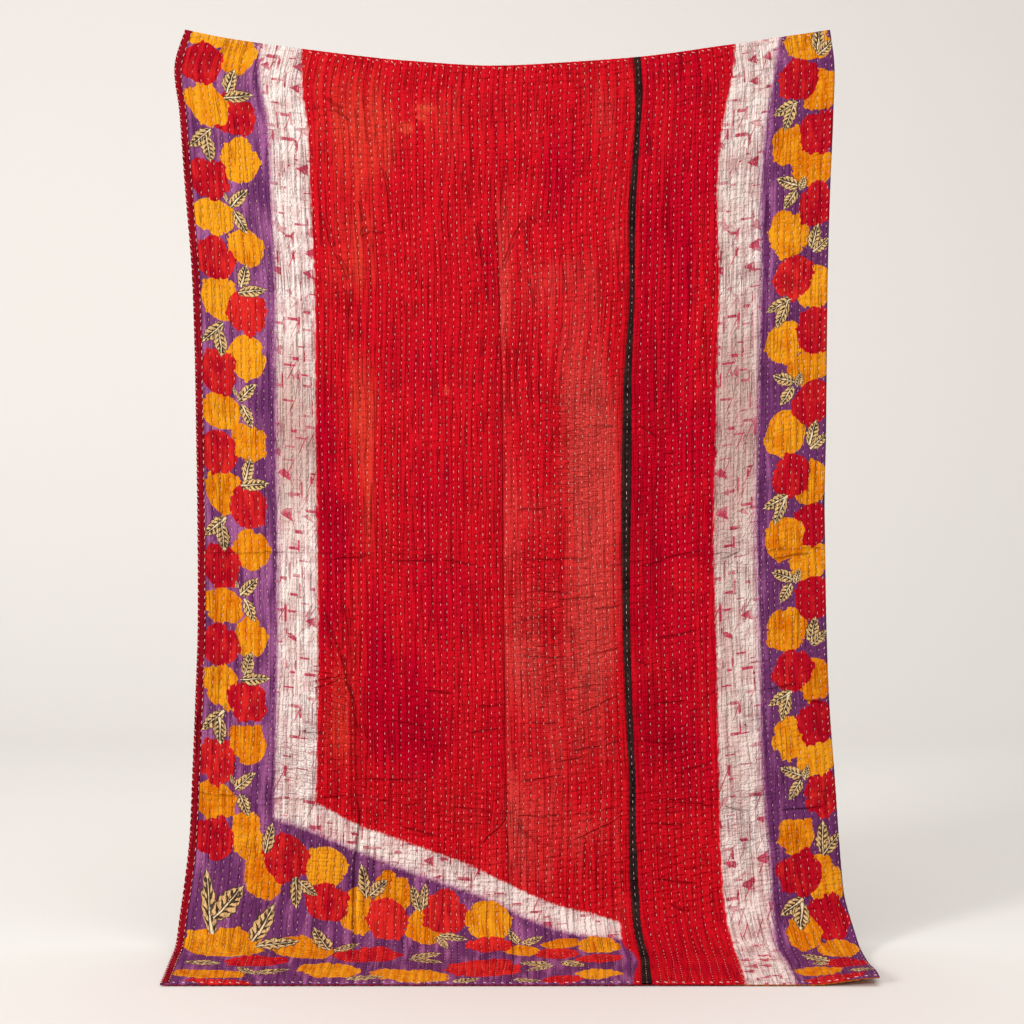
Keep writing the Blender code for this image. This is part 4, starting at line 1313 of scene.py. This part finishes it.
def back_cloth():
    """The back, its left edge turned over onto the face as a narrow hem, and the lines of its stitches."""
    v = np.linspace(0.0, LENGTH, 481)
    c1, v1 = np.meshgrid(np.arange(LAST_LEFT + 1.0), v, indexing="ij")
    c2, v2 = np.meshgrid(np.arange(LAST_RIGHT + 1.0), v, indexing="ij")
    u = np.concatenate([share_left(c1, v1), share_right(c2, v2)])
    middle = middle_surface(u, np.concatenate([v1, v2]))
    normal = grid_normals(middle)
    height = np.concatenate([relief(c1, v1, LAST_LEFT, 141), relief(c2, v2, LAST_RIGHT, 161)])
    plain = middle - normal * (LAYER + height)[..., None]

    right = unit(middle[2] - middle[0])
    front = unit(normal[0] - right * np.sum(normal[0] * right, -1, keepdims=True))
    lines = turned_edge(v, middle[0], right, front)
    # the top edge, the hem and the right edge are turned in to meet the face
    closed = np.concatenate([lines, middle - normal * TURNED_IN])
    points = bordered(np.concatenate([lines, plain]), closed)[1:]
    columns, rows = points.shape[:2]
    obj = mesh_object("back_and_turned_edge", points, grid_faces(columns, rows)[:, ::-1], [BACK])
    add_uv(obj, columns, rows)
    turned_x = (-0.002 - 0.0015 * np.arange(len(lines)))[::-1, None]
    flat_x = np.concatenate([np.repeat(turned_x, len(v), 1), u * BACK_WIDTH])
    add_flat(obj, spread(flat_x)[1:], spread(np.broadcast_to(v, flat_x.shape))[1:])
    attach(obj, "root")
    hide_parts("back_cloth")
    on_face, on_side = lines[2], lines[-5]
    return obj, (on_face, on_side, front), (plain, -normal, v)


back, (rim_face, rim_side, rim_front), back_grid = back_cloth()

# ---------------------------------------------------------------------------------------------------------------
# Stitches
# ---------------------------------------------------------------------------------------------------------------

# Places along a strand, as shares of its half length, and its width and height there.
STRAND = ((-1.0, 0.35, -0.5), (-0.62, 0.9, 0.75), (0.0, 1.0, 1.0), (0.62, 0.9, 0.75), (1.0, 0.35, -0.5))
AHEAD = 0.003  # a strand's direction is taken between two points this far before and after its middle
DIP = 0.0003  # of a strand's two edges below its middle line


def threads(name, centre, along, normal, length, width, height, strand=STRAND):
    """One mesh of short stitches, each a low rounded strand that dips into the cloth at both ends."""
    n, m = len(centre), len(strand)
    along = unit(along)
    side = unit(np.cross(along, normal))
    points = np.empty((n, m, 3, 3))
    for i, (station, wide, high) in enumerate(strand):
        spine = centre + along * (station * 0.5 * length)[:, None]
        half = (0.5 * width * wide)[:, None]
        points[:, i, 0] = spine - side * half - normal * DIP
        points[:, i, 1] = spine + normal * (height * high)[:, None]
        points[:, i, 2] = spine + side * half - normal * DIP
    index = np.arange(n * m * 3).reshape(n, m, 3)
    faces = [
        np.stack([index[:, i, k], index[:, i, k + 1], index[:, i + 1, k + 1], index[:, i + 1, k]], -1)
        for i in range(m - 1)
        for k in range(2)
    ]
    obj = mesh_object(name, points, np.concatenate(faces), [THREAD])
    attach(obj, "root")
    return obj


def running_stitches(name, panel, rows, seed):
    """The rows of stitches on the face of a panel."""
    rng = np.random.default_rng(seed)
    parts = []
    for row in rows:
        v = stitch_places(row, panel.stitch_seed, 0.004, 6000)
        v = v[rng.uniform(size=len(v)) > 0.012]  # a few are lost
        column = 2.0 * row + rng.uniform(-0.06, 0.06, len(v))
        column = np.clip(column, 0.25, panel.last - 0.25)
        lean = rng.uniform(-0.035, 0.035, len(v))
        before = panel.at(column - lean, v - AHEAD, panel.points)
        after = panel.at(column + lean, v + AHEAD, panel.points)
        parts.append((panel.at(column, v, panel.points), after - before, panel.at(column, v, panel.normal)))
    centre, along, normal = map(np.concatenate, zip(*parts))
    length = rng.uniform(0.0054, 0.0078, len(centre))
    width = rng.uniform(0.00100, 0.00140, len(centre))
    return threads(name, centre, along, normal, length, width, rng.uniform(0.0003, 0.0005, len(centre)))


def along_line(values, s, where):
    """The values of a line of points, which are known at s, at other places."""
    return np.stack([np.interp(where, s, values[:, axis]) for axis in range(3)], -1)


def back_stitches():
    """The same rows on the back, between the stitches of the face."""
    rng = np.random.default_rng(211)
    grid, normals, v = back_grid
    lines = [(2 * row, row, LEFT.stitch_seed) for row in range(1, ROWS_LEFT)]
    lines += [(LAST_LEFT + 1 + 2 * row, row, RIGHT.stitch_seed) for row in range(1, ROWS_RIGHT)]
    parts = []
    for line, row, seed in lines:
        where = stitch_places(row, seed, 0.006, 4000, shift=0.5)
        before, after = (along_line(grid[line], v, where + step) for step in (-AHEAD, AHEAD))
        parts.append((along_line(grid[line], v, where), after - before, along_line(normals[line], v, where)))
    centre, along, up = map(np.concatenate, zip(*parts))
    n = len(centre)
    length, width = rng.uniform(0.0055, 0.008, n), rng.uniform(0.0010, 0.0014, n)
    return threads("stitches_back", centre, along, up, length, width, rng.uniform(0.0004, 0.0006, n), STRAND[::2])


def line_stitches(name, points, normal, pitch, length, turn, seed, width=0.0012, out=0.0, lift=0.0004):
    """Slanting stitches along a line of points. The turn is in degrees from the line's own direction."""
    rng = np.random.default_rng(seed)
    s = np.concatenate([[0.0], np.cumsum(np.linalg.norm(np.diff(points, axis=0), axis=1))])
    where = np.arange(0.5 * pitch, s[-1] - 0.3 * pitch, pitch)
    where = where + rng.uniform(-0.15, 0.15, len(where)) * pitch
    tangent = unit(along_line(points, s, where + AHEAD) - along_line(points, s, where - AHEAD))
    up = unit(along_line(normal, s, where))
    side = np.cross(tangent, up)
    angle = np.radians(turn + rng.uniform(-9, 9, len(where)))[:, None]
    along = tangent * np.cos(angle) + side * np.sin(angle)
    centre = along_line(points, s, where) + up * lift + side * out
    n = len(where)
    length, width = length * rng.uniform(0.85, 1.2, n), width * rng.uniform(0.85, 1.2, n)
    return threads(name, centre, along, up, length, width, rng.uniform(0.0005, 0.0008, n))


def panel_line(panel, columns, v, steps):
    """Points and normals of a line over a panel, between two columns and two distances down."""
    column, v = np.linspace(*columns, steps), np.linspace(*v, steps)
    return panel.at(column, v, panel.points), panel.at(column, v, panel.normal)


OVERCAST_PITCH = 0.0165


def edge_stitches(name, panel, columns, seed):
    """Overcast stitches along a panel's hem and along its top edge."""
    hem, top = (panel_line(panel, columns, (v, v), 500) for v in (LENGTH - 0.0055, 0.0050))
    return [
        line_stitches(f"stitches_hem_{name}", *hem, OVERCAST_PITCH, 0.0066, 28, seed, width=0.0012),
        line_stitches(f"stitches_top_{name}", *top, OVERCAST_PITCH, 0.0050, 28, seed + 20, width=0.0010),
    ]


stitches_left = running_stitches("stitches_left", LEFT, range(2, ROWS_LEFT), 201)
stitches_right = running_stitches("stitches_right", RIGHT, range(1, ROWS_RIGHT), 202)
strip_stitches = line_stitches("stitches_strip", strip_line, strip_normal, 0.0148, 0.0062, 0, 203, lift=0.0)
rim_inner = line_stitches("stitches_rim_inner", rim_face, rim_front, 0.0145, 0.0064, 6, 204, width=0.0011)
rim_outer = line_stitches(
    "stitches_rim_outer", rim_side, rim_front, RIM_PITCH, 0.0056, -48, 205, width=0.0014, out=0.0008, lift=0.0002
)
right_line = panel_line(RIGHT, (49.3, 49.3), (0.0, LENGTH), 600)
right_edge = line_stitches("stitches_right_edge", *right_line, 0.0150, 0.0048, 24, 206, width=0.0009)
edge_pieces_left = edge_stitches("left", LEFT, (2.0, 114.0), 207)
edge_pieces_right = edge_stitches("right", RIGHT, (0.0, 49.5), 208)
stitches_back = back_stitches()

# ---------------------------------------------------------------------------------------------------------------
# Floor, backdrop, lights and camera
# ---------------------------------------------------------------------------------------------------------------

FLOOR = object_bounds()[0][2] - 0.0002
WALL, BEND = 3.0, 1.8  # where the floor starts to curve up, and the curve's radius
WARM = (1.0, 0.965, 0.945)


def backdrop():
    """A pale floor that curves up into a wall, with no line between them."""
    path = [(-6.0, 0.0), (WALL, 0.0)]
    for i in range(1, 17):
        angle = math.radians(90.0 * i / 16)
        path.append((WALL + BEND * math.sin(angle), BEND - BEND * math.cos(angle)))
    path.append((WALL + BEND, 6.0))
    points = np.array([[(x, y, FLOOR + z) for y, z in path] for x in (-7.0, 7.0)])
    material, t, shader = new_material("backdrop_paper", 0.95, 0.1)
    # the wall is a little paler than the floor, because it stands farther from the lights
    colour = t.mix(t.attribute("floor", "Fac"), linear(246, 243, 240), linear(241, 240, 236))
    t.put(shader.inputs["Base Color"], colour)
    obj = mesh_object("backdrop", points, grid_faces(2, len(path))[:, ::-1], [material])
    add_attribute(obj, "floor", 1.0 - smooth((points[..., 2] - FLOOR) / 1.6))


def area_light(name, place, target, size, power, colour):
    light = bpy.data.lights.new(name, "AREA")
    light.shape = "RECTANGLE"
    light.size, light.size_y = size
    light.energy = power
    light.color = colour
    obj = bpy.data.objects.new(name, light)
    bpy.context.scene.collection.objects.link(obj)
    obj.location = place
    obj.rotation_euler = (Vector(target) - Vector(place)).to_track_quat("-Z", "Y").to_euler()


backdrop()
area_light("key", (-7.8, -6.4, 1.9), (0.0, 0.0, -1.1), (2.4, 2.4), 640.0, (1.0, 0.98, 0.955))
area_light("top", (0.2, -0.6, 3.4), (0.2, -0.6, -1.7), (5.5, 4.6), 145.0, WARM)

world = bpy.data.worlds.new("studio")
bpy.context.scene.world = world
world.use_nodes = True
background = world.node_tree.nodes["Background"]
background.inputs[0].default_value = (*WARM, 1.0)
background.inputs[1].default_value = 0.40

camera_data = bpy.data.cameras.new("camera")
camera_data.lens = 61.17
camera_data.sensor_width = 36.0
camera = bpy.data.objects.new("camera", camera_data)
bpy.context.scene.collection.objects.link(camera)
camera.location = (0.008, -3.4, -0.8715)
camera.rotation_euler = (math.radians(90.0), 0.0, 0.0)
bpy.context.scene.camera = camera
bpy.context.scene.view_settings.view_transform = "Standard"
bpy.context.scene.view_settings.look = "None"
